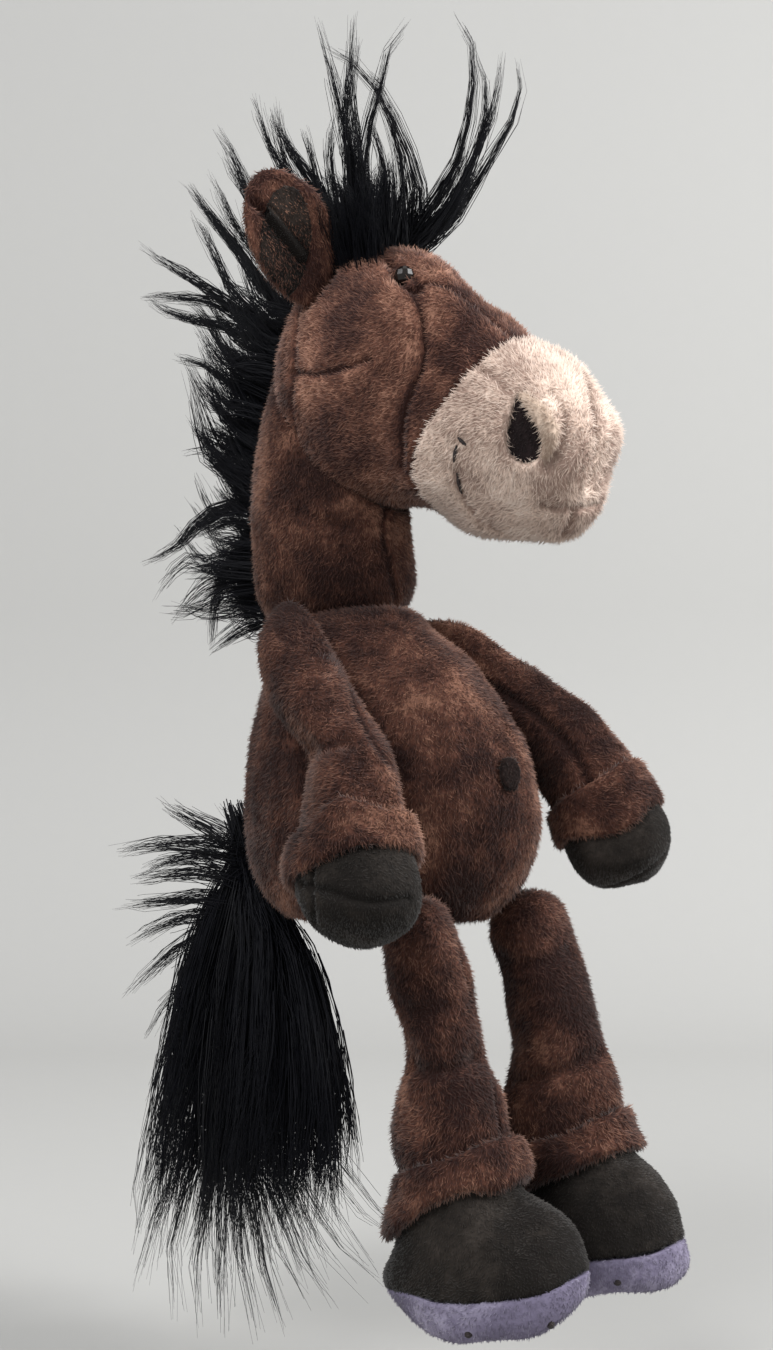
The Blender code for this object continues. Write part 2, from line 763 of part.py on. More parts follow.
def make_ears(frame, head):
    """The ears stand in grooves of the crown, and flop about the line through their roots."""
    crown = surface_of(head)
    for name, side in (("right", -1), ("left", 1)):
        place = Matrix.Translation((side * EAR_ASIDE, EAR_BACK, EAR_UP))
        place = place @ Matrix.Rotation(side * EAR_SPREAD, 4, "Y") @ Matrix.Rotation(-EAR_TIP_BACK, 4, "X")
        place = place @ Matrix.Rotation(side * EAR_FACING, 4, "Z")
        place = world_of(frame) @ place
        above = place @ Vector((0, 0, OVERRUN))
        spot, _, _, _ = crown.ray_cast(above, place.to_3x3() @ Vector((0, 0, -1)))
        place.translation = spot
        hinge = marker(f"ear_{name}_hinge", place)
        rings = [
            leaf_ring(
                level * EAR_LENGTH,
                wide * EAR_HALF_WIDTH,
                EAR_HALF_THICKNESS * (EAR_THIN_share + (1 - EAR_THIN_share) * wide),
                EAR_CUP * wide**2,
            )
            for level, wide in EAR_ring_shares
        ]
        stuffed(
            f"ear_{name}",
            rings,
            BROWN,
            hinge,
            start=Vector((0, 0, -EAR_ROOT_DEPTH)),
            end=Vector((0, 0, EAR_LENGTH)),
        )
        small = EAR_LINING_share
        low = EAR_LENGTH * (1 - small) / 3
        high = low + EAR_LENGTH * small
        back = EAR_HALF_THICKNESS + SEAM_GAP * 2 + EAR_LINING_THICKNESS / 2
        lining = [
            leaf_ring(
                low + (high - low) * level,
                wide * EAR_HALF_WIDTH * small,
                EAR_LINING_THICKNESS / 2,
                EAR_CUP * (wide * small) ** 2,
                -back,
            )
            for level, wide in EAR_ring_shares[1::2]
        ]
        stuffed(
            f"ear_lining_{name}",
            lining,
            CHARCOAL,
            hinge,
            start=Vector((0, -back, low)),
            end=Vector((0, -back, high)),
        )
        ends = [share * EAR_ROOT_DEPTH for share in EAR_groove_radius_shares[::-side]]
        groove = cone_mesh(f"ear_{name}_groove", ends, EAR_HALF_WIDTH * EAR_GROOVE_share)
        groove.transform(world_of(hinge))
        combine(head, as_cutter(piece(f"ear_{name}_groove", groove, None, None, CUTTERS)))


# Arms


def shoulder_plane(torso, side):
    """The frame of a shoulder: x out of the body's side, z up along it, on a plane just inside its bulge."""
    level = math.cos(SHOULDER_TILT)
    outward = Vector(
        (side * level * math.cos(SHOULDER_TURN), -level * math.sin(SHOULDER_TURN), math.sin(SHOULDER_TILT))
    )
    upward = (Vector((0, 0, 1)) - outward * outward.z).normalized()
    reach = max(outward.dot(vertex.co) for vertex in finished_mesh(torso).vertices) - SHOULDER_FLAT_DEPTH
    aside = (reach - outward.y * SHOULDER_BEHIND - outward.z * SHOULDER_HEIGHT) / outward.x
    axes = Matrix((outward, upward.cross(outward), upward)).transposed().to_4x4()
    return Matrix.Translation((aside, SHOULDER_BEHIND, SHOULDER_HEIGHT)) @ axes


def cut_shoulder_flat(torso, name, plane):
    size = 2 * TORSO_HEIGHT
    mesh = box_mesh(f"{name}_flat", (OVERRUN, size, size))
    mesh.transform(plane @ Matrix.Translation((OVERRUN / 2, 0, 0)))
    combine(torso, as_cutter(piece(f"{name}_flat", mesh, None, None, CUTTERS)))


def eased(share):
    return share * share * (3 - 2 * share)


def arm_section(share):
    """How far out and how far ahead the arm's middle lies, and its half width and half thickness."""
    reach = min(max(share, 0) / ARM_STRAIGHT_share, 1)
    ahead = ARM_AHEAD * eased(min(max(share, 0) / ARM_BEND_share, 1))
    wide = ARM_SHOULDER_HALF_WIDTH + (ARM_WRIST_HALF_WIDTH - ARM_SHOULDER_HALF_WIDTH) * reach
    thick = ARM_SHOULDER_HALF_THICKNESS + (ARM_WRIST_HALF_THICKNESS - ARM_SHOULDER_HALF_THICKNESS) * reach
    off = thick + (ARM_CUFF_WALL + SEAM_GAP) * eased(reach)
    return off, ahead, wide, thick


def band_mesh(name, centre, inner, outer, height, slant=0):
    """A rolled cuff: a band with a round outer side. Inner and outer are half-axes across and along."""
    rings = []
    for number in range(CUFF_SIDES):
        turn = math.tau * number / CUFF_SIDES
        points = []
        for out_share, up_share in CUFF_profile_shares:
            across = inner[0] + (outer[0] - inner[0]) * out_share
            along = inner[1] + (outer[1] - inner[1]) * out_share
            x, y = across * math.cos(turn), along * math.sin(turn)
            points.append(Vector((centre.x + x, centre.y + y, centre.z + up_share * height - slant * y)))
        rings.append(points)
    mesh = bpy.data.meshes.new(name)
    skin = bmesh.new()
    loops = [[skin.verts.new(point) for point in points] for points in rings]
    for number, loop in enumerate(loops):
        following = loops[(number + 1) % CUFF_SIDES]
        for corner in range(len(loop)):
            beyond = (corner + 1) % len(loop)
            skin.faces.new((loop[corner], following[corner], following[beyond], loop[beyond]))
    bmesh.ops.recalc_face_normals(skin, faces=skin.faces)
    skin.to_mesh(mesh)
    skin.free()
    return mesh


def make_arm(torso, name, side, swing):
    plane = shoulder_plane(torso, side)
    cut_shoulder_flat(torso, f"shoulder_{name}", plane)
    forward = -side
    joint = marker(f"shoulder_{name}_hinge", plane @ Matrix.Rotation(forward * swing, 4, "X"))
    rings = []
    for along, swell in ARM_swell_shares:
        off, ahead, wide, thick = arm_section(along)
        centre = Vector((off - (1 - swell) * thick * (along < 0), forward * ahead, -along * ARM_LENGTH))
        rings.append(swollen_ring(centre, Vector((thick * swell, 0, 0)), Vector((0, wide * swell, 0))))
    tip = Vector((ARM_SHOULDER_HALF_THICKNESS / 3, 0, ARM_POINT))
    stuffed(f"arm_{name}", rings, BROWN, joint, start=tip)
    off, ahead, wide, thick = arm_section(1)
    cuff = band_mesh(
        f"arm_cuff_{name}",
        Vector((off, forward * ahead, -ARM_LENGTH)),
        (thick + SEAM_GAP, wide + SEAM_GAP),
        (thick + ARM_CUFF_WALL, wide + ARM_CUFF_WALL),
        ARM_CUFF_HEIGHT,
    )
    piece(f"arm_cuff_{name}", cuff, BROWN, joint)
    rings = []
    for along, swell in HAND_ring_shares:
        centre = Vector((off, forward * ahead, -ARM_LENGTH - SEAM_GAP - along * HAND_LENGTH))
        rings.append(swollen_ring(centre, Vector((thick * swell, 0, 0)), Vector((0, wide * swell, 0))))
    tip = Vector((off, forward * ahead, -ARM_LENGTH - SEAM_GAP - HAND_LENGTH))
    stuffed(f"hand_hoof_{name}", rings, CHARCOAL, joint, end=tip)


# Legs


def make_leg(torso, name, side):
    hip = Vector((side * HIP_ASIDE, -HIP_FORWARD, -HIP_DOWN))
    joint = marker(f"hip_{name}_hinge", Matrix.Translation(hip) @ Matrix.Rotation(-LEG_TILT, 4, "X"))
    combine(torso, ball_cutter(f"hip_{name}_hollow", hip, HIP_RADIUS + SWING_GAP))
    rings = []
    for turn in HIP_DOME:
        radius = HIP_RADIUS * math.cos(turn)
        centre = Vector((0, 0, HIP_RADIUS * DOME_SWELL_share * math.sin(turn)))
        rings.append(swollen_ring(centre, Vector((radius, 0, 0)), Vector((0, radius, 0))))
    for along, swell in LEG_ring_shares:
        radius = swell * (HIP_RADIUS + (LEG_ANKLE_RADIUS - HIP_RADIUS) * along)
        centre = Vector((0, 0, -along * LEG_LENGTH))
        rings.append(swollen_ring(centre, Vector((radius, 0, 0)), Vector((0, radius, 0))))
    stuffed(f"leg_{name}", rings, BROWN, joint, start=Vector((0, 0, HIP_RADIUS * DOME_SWELL_share)))
    ankle = (LEG_ANKLE_RADIUS + SEAM_GAP, LEG_ANKLE_RADIUS + SEAM_GAP)
    outer = (LEG_ANKLE_RADIUS + LEG_CUFF_WALL, LEG_ANKLE_RADIUS + LEG_CUFF_WALL)
    centre = Vector((0, 0, -LEG_LENGTH))
    cuff = band_mesh(f"leg_cuff_{name}", centre, ankle, outer, LEG_CUFF_HEIGHT, LEG_CUFF_SLANT)
    piece(f"leg_cuff_{name}", cuff, BROWN, joint)
    make_foot(name, joint)


def foot_ring(level, grown, share=1, slanted=1):
    """A ring of the hoof, from the ankle's round, slanted as the cuff is, to the sole's long level oval."""
    half_width = (LEG_ANKLE_RADIUS + (FOOT_HALF_WIDTH - LEG_ANKLE_RADIUS) * grown) * share
    half_length = (LEG_ANKLE_RADIUS + (FOOT_HALF_LENGTH - LEG_ANKLE_RADIUS) * grown) * share
    centre = Vector((0, -FOOT_AHEAD * grown, level))
    slant = LEG_CUFF_SLANT * (1 - grown) * slanted
    return swollen_ring(centre, Vector((half_width, 0, 0)), Vector((0, half_length, -slant * half_length)))


def make_foot(name, joint):
    ankle = -LEG_LENGTH - SEAM_GAP
    neck = foot_ring(ankle, 0, FOOT_NECK_share, 0)
    below = ankle - LEG_CUFF_HEIGHT * FOOT_START_share
    rings = [neck, foot_ring(ankle - LEG_CUFF_HEIGHT / 2, 0, FOOT_NECK_share), foot_ring(below, 0)]
    for level, grown in FOOT_ring_shares[1:]:
        rings.append(foot_ring(below - level * FOOT_HEIGHT, grown))
    stuffed(f"foot_hoof_{name}", rings, CHARCOAL, joint)
    top = below - FOOT_HEIGHT - SEAM_GAP
    rings = [foot_ring(top - level * SOLE_HEIGHT, 1, wide) for level, wide in SOLE_ring_shares]
    rings.append(foot_ring(top - SOLE_HEIGHT, 1, SOLE_BOTTOM_share))
    sole = stuffed(f"sole_{name}", rings, LAVENDER, joint)
    surface = surface_of(sole)
    place = world_of(joint)
    for number, share in enumerate(NAIL_angle_shares, 1):
        turn = share * math.tau
        outward = Vector((math.sin(turn), -math.cos(turn), 0))
        middle = Vector((0, -FOOT_AHEAD, top - SOLE_HEIGHT * NAIL_HEIGHT_share))
        start = place @ (middle + outward * (FOOT_HALF_LENGTH + OVERRUN))
        spot, normal, _, _ = surface.ray_cast(start, place.to_3x3() @ -outward)
        dot = rod_mesh(
            f"sole_stitch_{name}_{number}", NAIL_RADIUS, NAIL_LENGTH + OVERRUN / 4, FORM_SIDES
        )
        dot.transform(normal.to_track_quat("Z", "Y").to_matrix().to_4x4())
        dot.transform(Matrix.Translation(spot - normal * (OVERRUN / 8 - NAIL_LENGTH / 4)))
        stitch = piece(f"sole_stitch_{name}_{number}", dot, DARK_THREAD)
        seat_on(stitch, sole)


# Hair


def lock_object(name, root, direction, length, radius, droop, locks):
    """One pointed lock: it leaves its root along the direction and bends over by the droop vector."""
    points = []
    radii = []
    for number in range(LOCK_RINGS):
        share = number / LOCK_RINGS
        points.append(root + direction * length * share + droop * share**2)
        radii.append(radius * (1 - share) ** LOCK_TAPER_share)
    rings = tube_rings(points, radii)
    mesh = loft_mesh(name, rings, end=root + direction * length + droop)
    return as_cutter(piece(name, mesh, None, None, locks))


def gather(tuft, locks):
    """Join a tuft's locks to its root pad."""
    joined = tuft.modifiers.new("locks", "BOOLEAN")
    joined.operation = "UNION"
    joined.solver = "EXACT"
    joined.operand_type = "COLLECTION"
    joined.collection = locks


def wave(number, rate):
    """A repeatable value from -1 to 1 for each lock."""
    return math.sin(number * rate * math.tau)


def varied_length(longest, number):
    return longest * (1 - LOCK_LENGTH_share + LOCK_LENGTH_share * wave(number, LENGTH_RATE_share))


def mane_back(level):
    """How far behind the origin the back of the neck and of the head lies at a height."""
    full, narrowing, least = MANE_BACK_shares
    share = max((level - NECK_TOP) / NAPE_HEIGHT, 0)
    return NECK_BEHIND + NECK_RADIUS * max(full - narrowing * share**2, least)


def mane_strip(name, low, high):
    """A root pad up the back of the neck, from one height to another."""
    rings = []
    for share, full in MANE_pad_shares:
        level = low + (high - low) * share
        centre = Vector((0, mane_back(level), level))
        across = Vector((MANE_HALF_WIDTH * full, 0, 0))
        rings.append(ring(centre, across, Vector((0, MANE_DEPTH * full, 0)), PAD_SIDES))
    return piece(name, loft_mesh(name, rings), BLACK_HAIR)


def make_mane(name, low, high, count, lift, shortest):
    strip = mane_strip(name, low, high)
    locks = new_collection(f"{name}_locks")
    for number in range(count):
        share = (number + 0.5) / count
        level = low + (high - low) * share
        rise = lift[0] + (lift[1] - lift[0]) * share + MANE_RISE_SPREAD * wave(number, RISE_RATE_share)
        aside = MANE_ASIDE_share * wave(number, ASIDE_RATE_share)
        direction = Vector((aside, math.cos(rise), math.sin(rise))).normalized()
        length = varied_length(MANE_LOCK_LENGTH, number) * (shortest + (1 - shortest) * share)
        root_aside = MANE_HALF_WIDTH * MANE_ROOT_ASIDE_share * wave(number, ROOT_RATE_share)
        root = Vector((root_aside, mane_back(level), level))
        droop = Vector((0, 0, -length * MANE_DROOP_share))
        lock_object(f"{name}_lock_{number}", root, direction, length, MANE_LOCK_RADIUS, droop, locks)
    gather(strip, locks)
    return strip


def make_forelock(frame, head):
    place = world_of(frame)
    crown = HEAD_HALF_HEIGHT
    rings = []
    for level, wide in FORELOCK_pad_shares:
        centre = Vector((0, 0, crown + level * FORELOCK_PAD_HEIGHT / 2))
        across = Vector((FORELOCK_PAD_RADIUS * wide * FORELOCK_PAD_WIDTH_share, 0, 0))
        along = Vector((0, FORELOCK_PAD_RADIUS * wide, 0))
        rings.append([place @ point for point in ring(centre, across, along, PAD_SIDES)])
    pad = piece("forelock", loft_mesh("forelock", rings), BLACK_HAIR)
    locks = new_collection("forelock_locks")
    root_aside, root_ahead = FORELOCK_root_shares
    for number in range(FORELOCK_LOCKS):
        share = number / (FORELOCK_LOCKS - 1)
        lean = FORELOCK_LEAN + FORELOCK_FAN * share
        aside = FORELOCK_ASIDE_share * wave(number, RISE_RATE_share)
        direction = place.to_3x3() @ Vector((aside, -math.sin(lean), math.cos(lean))).normalized()
        length = varied_length(FORELOCK_LENGTH, number) * (1 - FORELOCK_SHORTER_share * share)
        base = Vector((root_aside * wave(number, ROOT_RATE_share), root_ahead * (0.5 - share), 0))
        root = place @ (base * FORELOCK_PAD_RADIUS + Vector((0, 0, crown)))
        droop = Vector((0, 0, length * FORELOCK_LIFT_share * share))
        lock_object(f"forelock_lock_{number}", root, direction, length, FORELOCK_RADIUS, droop, locks)
    gather(pad, locks)
    seat_on(pad, head)


def make_tail(torso):
    surface = surface_of(torso)
    spot, _, _, _ = surface.ray_cast(
        Vector((0, TORSO_HALF_DEPTH + OVERRUN, TAIL_HEIGHT)), Vector((0, -1, 0))
    )
    root = spot + Vector((0, TAIL_ROOT_RADIUS * TAIL_ROOT_BEHIND_share, 0))
    marker("tail_hinge", Matrix.Translation(root))
    combine(torso, ball_cutter("tail_hollow", root, TAIL_ROOT_RADIUS + SWING_GAP))
    rings = []
    for turn in TAIL_DOME:
        centre = root + Vector((0, 0, TAIL_ROOT_RADIUS * math.sin(turn)))
        radius = TAIL_ROOT_RADIUS * math.cos(turn)
        rings.append(ring(centre, Vector((radius, 0, 0)), Vector((0, radius, 0)), PAD_SIDES))
    for behind, down, full in TAIL_path_shares:
        centre = root + Vector((0, behind, down)) * TAIL_LENGTH
        across = Vector((full * TAIL_HALF_WIDTH, 0, 0))
        rings.append(ring(centre, across, Vector((0, full * TAIL_HALF_DEPTH, 0)), PAD_SIDES))
    top = root + Vector((0, 0, TAIL_ROOT_RADIUS))
    end = root + Vector((0, TAIL_path_shares[-1][0], -1)) * TAIL_LENGTH
    tail = piece("tail", loft_mesh("tail", rings, top, end), BLACK_HAIR)
    locks = new_collection("tail_locks")
    first, last = TAIL_lock_span_shares
    for number in range(TAIL_LOCKS):
        share = first + (last - first) * number / (TAIL_LOCKS - 1)
        turn = number * TAIL_LOCK_TURN
        behind, down, full = TAIL_path_shares[int(share * len(TAIL_path_shares))]
        backward = TAIL_BACKWARD_share + (1 - TAIL_BACKWARD_share) * abs(math.sin(turn))
        aside = Vector((math.cos(turn), backward, 0))
        reach = Vector((aside.x * TAIL_HALF_WIDTH, aside.y * TAIL_HALF_DEPTH, 0)) * full
        base = root + Vector((0, behind, down)) * TAIL_LENGTH + reach * TAIL_LOCK_INSET_share
        direction = (aside * TAIL_LOCK_FLARE_share - Vector((0, 0, 1))).normalized()
        droop = -aside * TAIL_LOCK_LENGTH * TAIL_LOCK_DROOP_share
        lock_object(f"tail_lock_{number}", base, direction, TAIL_LOCK_LENGTH, TAIL_LOCK_RADIUS, droop, locks)
    gather(tail, locks)


def make_horse():
    torso = make_torso()
    frame = marker(
        "head_pose",
        Matrix.Translation((0, HEAD_CENTRE_BEHIND, HEAD_CENTRE_HEIGHT))
        @ Matrix.Rotation(HEAD_TURN, 4, "Z")
        @ Matrix.Rotation(HEAD_LEAN, 4, "Y"),
    )
    head = make_head(frame)
    muzzle = make_muzzle(frame)
    neck = make_neck(torso)
    nape = make_nape(head)
    marker("neck_turn_axis", Matrix.Translation((0, NECK_BEHIND, NECK_TOP)))
    muzzle_surface = surface_of(muzzle)
    make_navel(torso)
    make_label(torso)
    lower = make_mane(
        "mane_lower", MANE_BOTTOM, NECK_TOP, MANE_LOCKS_LOWER, MANE_LOWER_RISE, MANE_LOWER_SHORTEST_share
    )
    seat_on(lower, torso, neck)
    keep_above(lower, NECK_TOP - SEAM_GAP, -1)
    top = NECK_TOP + NAPE_HEIGHT * MANE_TOP_share
    upper = make_mane("mane_upper", NECK_TOP, top, MANE_LOCKS_UPPER, MANE_UPPER_RISE, 1)
    seat_on(upper, nape, head)
    keep_above(upper, NECK_TOP + SEAM_GAP)
    make_forelock(frame, head)
    make_eyes(frame, head)
    make_nostrils(frame, muzzle)
    make_mouth_stitches(frame, muzzle_surface)
    make_ears(frame, head)
    make_arm(torso, "right", -1, ARM_RIGHT_SWING)
    make_arm(torso, "left", 1, ARM_LEFT_SWING)
    make_leg(torso, "right", -1)
    make_leg(torso, "left", 1)
    make_tail(torso)


make_horse()
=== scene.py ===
# %% [markdown]
# A plush horse with a black mane, drawn over its own mechanical frame.
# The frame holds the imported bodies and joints, so every piece here is made where its solid already is,
# and rides on the body that the solid rides on.

# %% Load the frame
import math
import random

import bmesh
import bpy
import numpy as np
from mathutils import Matrix, Vector, noise
from mathutils.bvhtree import BVHTree
from mathutils.kdtree import KDTree


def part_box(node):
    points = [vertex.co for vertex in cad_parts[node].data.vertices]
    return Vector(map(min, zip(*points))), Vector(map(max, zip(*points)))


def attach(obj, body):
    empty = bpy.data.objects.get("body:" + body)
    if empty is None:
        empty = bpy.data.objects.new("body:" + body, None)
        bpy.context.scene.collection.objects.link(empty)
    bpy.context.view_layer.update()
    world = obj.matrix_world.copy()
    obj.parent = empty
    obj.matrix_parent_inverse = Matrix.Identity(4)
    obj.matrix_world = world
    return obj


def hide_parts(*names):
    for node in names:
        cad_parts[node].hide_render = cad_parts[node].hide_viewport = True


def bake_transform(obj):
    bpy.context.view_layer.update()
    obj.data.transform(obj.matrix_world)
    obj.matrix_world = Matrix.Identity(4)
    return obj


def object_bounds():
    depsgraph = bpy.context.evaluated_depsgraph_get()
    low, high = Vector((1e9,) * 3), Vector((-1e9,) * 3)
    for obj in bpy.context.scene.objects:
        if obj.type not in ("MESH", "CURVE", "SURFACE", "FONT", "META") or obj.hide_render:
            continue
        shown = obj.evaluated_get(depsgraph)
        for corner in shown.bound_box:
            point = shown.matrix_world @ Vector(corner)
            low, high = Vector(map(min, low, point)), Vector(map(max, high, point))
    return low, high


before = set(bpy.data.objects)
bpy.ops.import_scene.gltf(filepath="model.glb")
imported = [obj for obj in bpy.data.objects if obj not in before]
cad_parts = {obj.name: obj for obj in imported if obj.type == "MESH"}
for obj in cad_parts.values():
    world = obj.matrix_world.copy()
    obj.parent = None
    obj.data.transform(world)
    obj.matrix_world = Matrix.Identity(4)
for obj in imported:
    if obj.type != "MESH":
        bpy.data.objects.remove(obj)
solid_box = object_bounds()
scene = bpy.context.scene

# %% [markdown]
# The camera stands low in front of the horse's right shoulder and looks a little upwards.
# It comes first, because seams and locks of hair are later drawn as points of the picture, and each
# point is a ray from this camera. A ray needs only the picture's size, the lens and the camera's turn.

# %% The camera, and rays through points of its picture
PICTURE = (773, 1350)             # the picture's size in its own points
SENSOR = 36.0                     # mm, along the picture's long side
LENS = 41.87                      # mm
CAMERA_PLACE = Vector((-0.49284, -0.43899, 0.045664))
CAMERA_AHEAD = Vector((0.74314, 0.66913, 0))
CAMERA_RISE = math.radians(4.733)
POINT_SIZE = SENSOR / LENS / PICTURE[1]    # a point of the picture, at a distance of 1
SIDES = ("right", "left")


def placed(name, data):
    """A new object in the scene, at the origin."""
    piece = bpy.data.objects.new(name, data)
    scene.collection.objects.link(piece)
    return piece


ahead = CAMERA_AHEAD * math.cos(CAMERA_RISE) + Vector((0, 0, math.sin(CAMERA_RISE)))
aside = ahead.cross(Vector((0, 0, 1))).normalized()
upward = aside.cross(ahead)
camera = placed("picture_camera", bpy.data.cameras.new("picture_camera"))
camera_turn = Matrix((aside, upward, -ahead)).transposed().to_4x4()
camera.matrix_world = Matrix.Translation(CAMERA_PLACE) @ camera_turn
camera.data.lens = LENS
camera.data.sensor_width = SENSOR
scene.camera = camera


def sight(point):
    """The direction in which the camera sees a point of the picture; its step ahead is 1."""
    right, down = point[0] - PICTURE[0] / 2, point[1] - PICTURE[1] / 2
    return ahead + aside * right * POINT_SIZE - upward * down * POINT_SIZE


print("camera at", tuple(camera.location), "looking", tuple(round(part, 3) for part in ahead))

# %% [markdown]
# Node trees are long to write by hand, so two small classes write them.
# Wire stands for one output and can be used in sums, and Maker adds any other node in one call.
# A sum such as 1 - mask then adds its Math node by itself.

# %% Wires and makers
class Wire:
    """An output socket that takes part in Python sums."""

    def __init__(self, maker, socket):
        self.maker = maker
        self.socket = socket

    def math(self, operation, first, second):
        return self.maker.node("ShaderNodeMath", {"operation": operation}, {0: first, 1: second})

    def __add__(self, other):
        return self.math("ADD", self, other)

    def __sub__(self, other):
        return self.math("SUBTRACT", self, other)

    def __rsub__(self, other):
        return self.math("SUBTRACT", other, self)

    def __mul__(self, other):
        return self.math("MULTIPLY", self, other)

    def __pow__(self, other):
        return self.math("POWER", self, other)

    __radd__ = __add__
    __rmul__ = __mul__


class Maker:
    """Adds nodes to one tree: a type, its settings, then the values or wires of its sockets."""

    def __init__(self, tree):
        self.tree = tree

    def node(self, kind, settings, sockets, output=0):
        made = self.tree.nodes.new(kind)
        for name, value in settings.items():
            if name == "stops":
                while len(made.color_ramp.elements) < len(value):
                    made.color_ramp.elements.new(1)
                for element, (place, colour) in zip(made.color_ramp.elements, value):
                    element.position = place
                    element.color = (*colour, 1)
            else:
                setattr(made, name, value)
        for key, value in sockets.items():
            if isinstance(value, Wire):
                self.tree.links.new(value.socket, made.inputs[key])
            else:
                made.inputs[key].default_value = value
        return Wire(self, made.outputs[output]) if len(made.outputs) else None

    def vector(self, operation, first, second):
        return self.node("ShaderNodeVectorMath", {"operation": operation}, {0: first, 1: second})

    def scaled(self, vector, factor):
        return self.node("ShaderNodeVectorMath", {"operation": "SCALE"}, {0: vector, "Scale": factor})

    def attribute(self, name):
        return self.node("ShaderNodeAttribute", {"attribute_name": name}, {}, "Fac")

    def bump(self, height, strength, distance):
        return self.node("ShaderNodeBump", {}, {"Height": height, "Strength": strength, "Distance": distance})

    def noise(self, place, scale, detail):
        return self.node("ShaderNodeTexNoise", {}, {"Vector": place, "Scale": scale, "Detail": detail,
                                                    "Roughness": 0.55})

    def mix(self, share, first, second):
        return self.node("ShaderNodeMix", {"data_type": "RGBA"}, {0: share, 6: first, 7: second}, 2)


print("wires and makers ready")

# %% [markdown]
# Short plush is a knitted backing with a dense pile of fibres. From afar it shows soft patches, where
# the nap lies another way, and close up it shows single strokes that look darker at the root, where the pile shades
# itself.
# The backing and the fibres are separate pieces here, so each gets its own material on the same colours:
# the backing reads only where it is and is painted darker than the fibres, as shade deep in the pile,
# and the fibres also read how far along they are, which paints them darker towards the root for the same shade.

# %% Plush materials
PALETTES = {
    # plush: its dark, middle and light colour
    "brown": ((0.021, 0.0084, 0.0068), (0.077, 0.0315, 0.0212), (0.31, 0.157, 0.104)),
    # the body's brown, painted lighter for the head and ears as the light that falls on them; the neck keeps the
    # plain brown and reads darker in the head's shade
    "head_brown": ((0.038, 0.0158, 0.0128), (0.146, 0.0640, 0.0432), (0.50, 0.270, 0.184)),
    "taupe": ((0.36, 0.255, 0.208), (0.74, 0.580, 0.485), (0.97, 0.840, 0.740)),
    "pale": ((0.36, 0.262, 0.200), (0.56, 0.435, 0.345), (0.74, 0.61, 0.50)),
    "charcoal": ((0.008, 0.0064, 0.0054), (0.019, 0.0152, 0.0126), (0.042, 0.034, 0.029)),
    # its dark end is nearly black, so the painted shade in the ear's crease reads deep
    "lining": ((0.006, 0.0045, 0.0038), (0.034, 0.0245, 0.020), (0.066, 0.047, 0.037)),
    "lavender": ((0.130, 0.115, 0.170), (0.240, 0.218, 0.295), (0.38, 0.355, 0.440)),
    "nostril": ((0.008, 0.0048, 0.005), (0.017, 0.0105, 0.011), (0.032, 0.020, 0.020)),
    "navel": ((0.006, 0.0030, 0.0026), (0.015, 0.0072, 0.0058), (0.040, 0.021, 0.016)),
}
PATCH_SCALE = 21.0                # nap marks a metre
PATCH_CONTRAST = 3.5
STROKE_SCALE = 420.0              # tufts a metre
FIBRE_ROUGHNESS = 0.86
FIBRE_SHEEN = 0.10


def shader(name):
    """A new material, its maker, and the place on the object that its patterns read."""
    material = bpy.data.materials.new(name)
    material.use_nodes = True
    material.node_tree.nodes.clear()
    maker = Maker(material.node_tree)
    return material, maker, maker.node("ShaderNodeTexCoord", {}, {}, "Object")


def finish(maker, sockets):
    surface = maker.node("ShaderNodeBsdfPrincipled", {}, sockets)
    maker.node("ShaderNodeOutputMaterial", {}, {"Surface": surface})


def nap_marks(maker, place):
    """Soft patches from 0 to 1, broad ones with smaller ones in them."""
    broad = maker.noise(place, PATCH_SCALE, 1.5)
    small = maker.noise(place, PATCH_SCALE * 3.2, 3.0)
    return (broad * 0.54 + small * 0.46 - 0.5) * PATCH_CONTRAST + 0.5


def backing(name, colours):
    material, maker, place = shader(name)
    tufts = maker.noise(place, STROKE_SCALE, 2.0)
    seam = maker.attribute("seam")
    # the last term paints shade into the valleys of seams, creases and the eye's slit
    shade = nap_marks(maker, place) * 0.55 + tufts * 0.40 - 0.08 - seam * 0.36
    # painted shade deep in the pile: these stops sit higher than the fibres', and the shade above has 0.08 taken
    # off, so the backing comes out darker than its fibres
    stops = tuple(zip((0.28, 0.52, 0.85), colours))
    colour = maker.node("ShaderNodeValToRGB", {"stops": stops}, {"Fac": shade})
    bump = maker.bump(tufts, 0.6, 0.001)
    finish(maker, {"Base Color": colour, "Roughness": 0.95 - tufts * 0.08, "Normal": bump,
                   "Specular IOR Level": 0.15})
    return material


def fibres(name, colours):
    material, maker, place = shader(name)
    strand, along, seam = (maker.attribute(name) for name in ("strand", "along", "seam"))
    tufts = maker.noise(place, STROKE_SCALE, 2.0)
    # the along term paints each fibre darker at the root and lighter at the tip, for the shade deep in the pile
    shade = nap_marks(maker, place) * 0.50 + strand * 0.34 + along * 0.42 + tufts * 0.50 - 0.58
    # painted shade in the valleys of seams, creases and the eye's slit
    shade = shade - seam * 0.42
    stops = tuple(zip((0.18, 0.48, 0.86), colours))
    colour = maker.node("ShaderNodeValToRGB", {"stops": stops}, {"Fac": shade})
    finish(maker, {"Base Color": colour, "Roughness": FIBRE_ROUGHNESS - strand * 0.1,
                   "Sheen Weight": FIBRE_SHEEN, "Specular IOR Level": 0.2})
    return material


PLUSH = {plush: (backing(plush + "_backing", colours), fibres(plush + "_fibres", colours))
         for plush, colours in PALETTES.items()}
print("plush materials:", sorted(PLUSH))

# %% [markdown]
# A stuffed form is its solid with the facets taken away. A copy of the solid is merged, remeshed to small
# even squares and relaxed. Plain averaging would shrink thin legs, so each averaging step is followed by
# a slightly larger step back, which keeps the volume and removes only what is smaller than a facet.

# %% Soft copies of the solids
WELD = 0.00001                    # corners nearer than this are one, in m


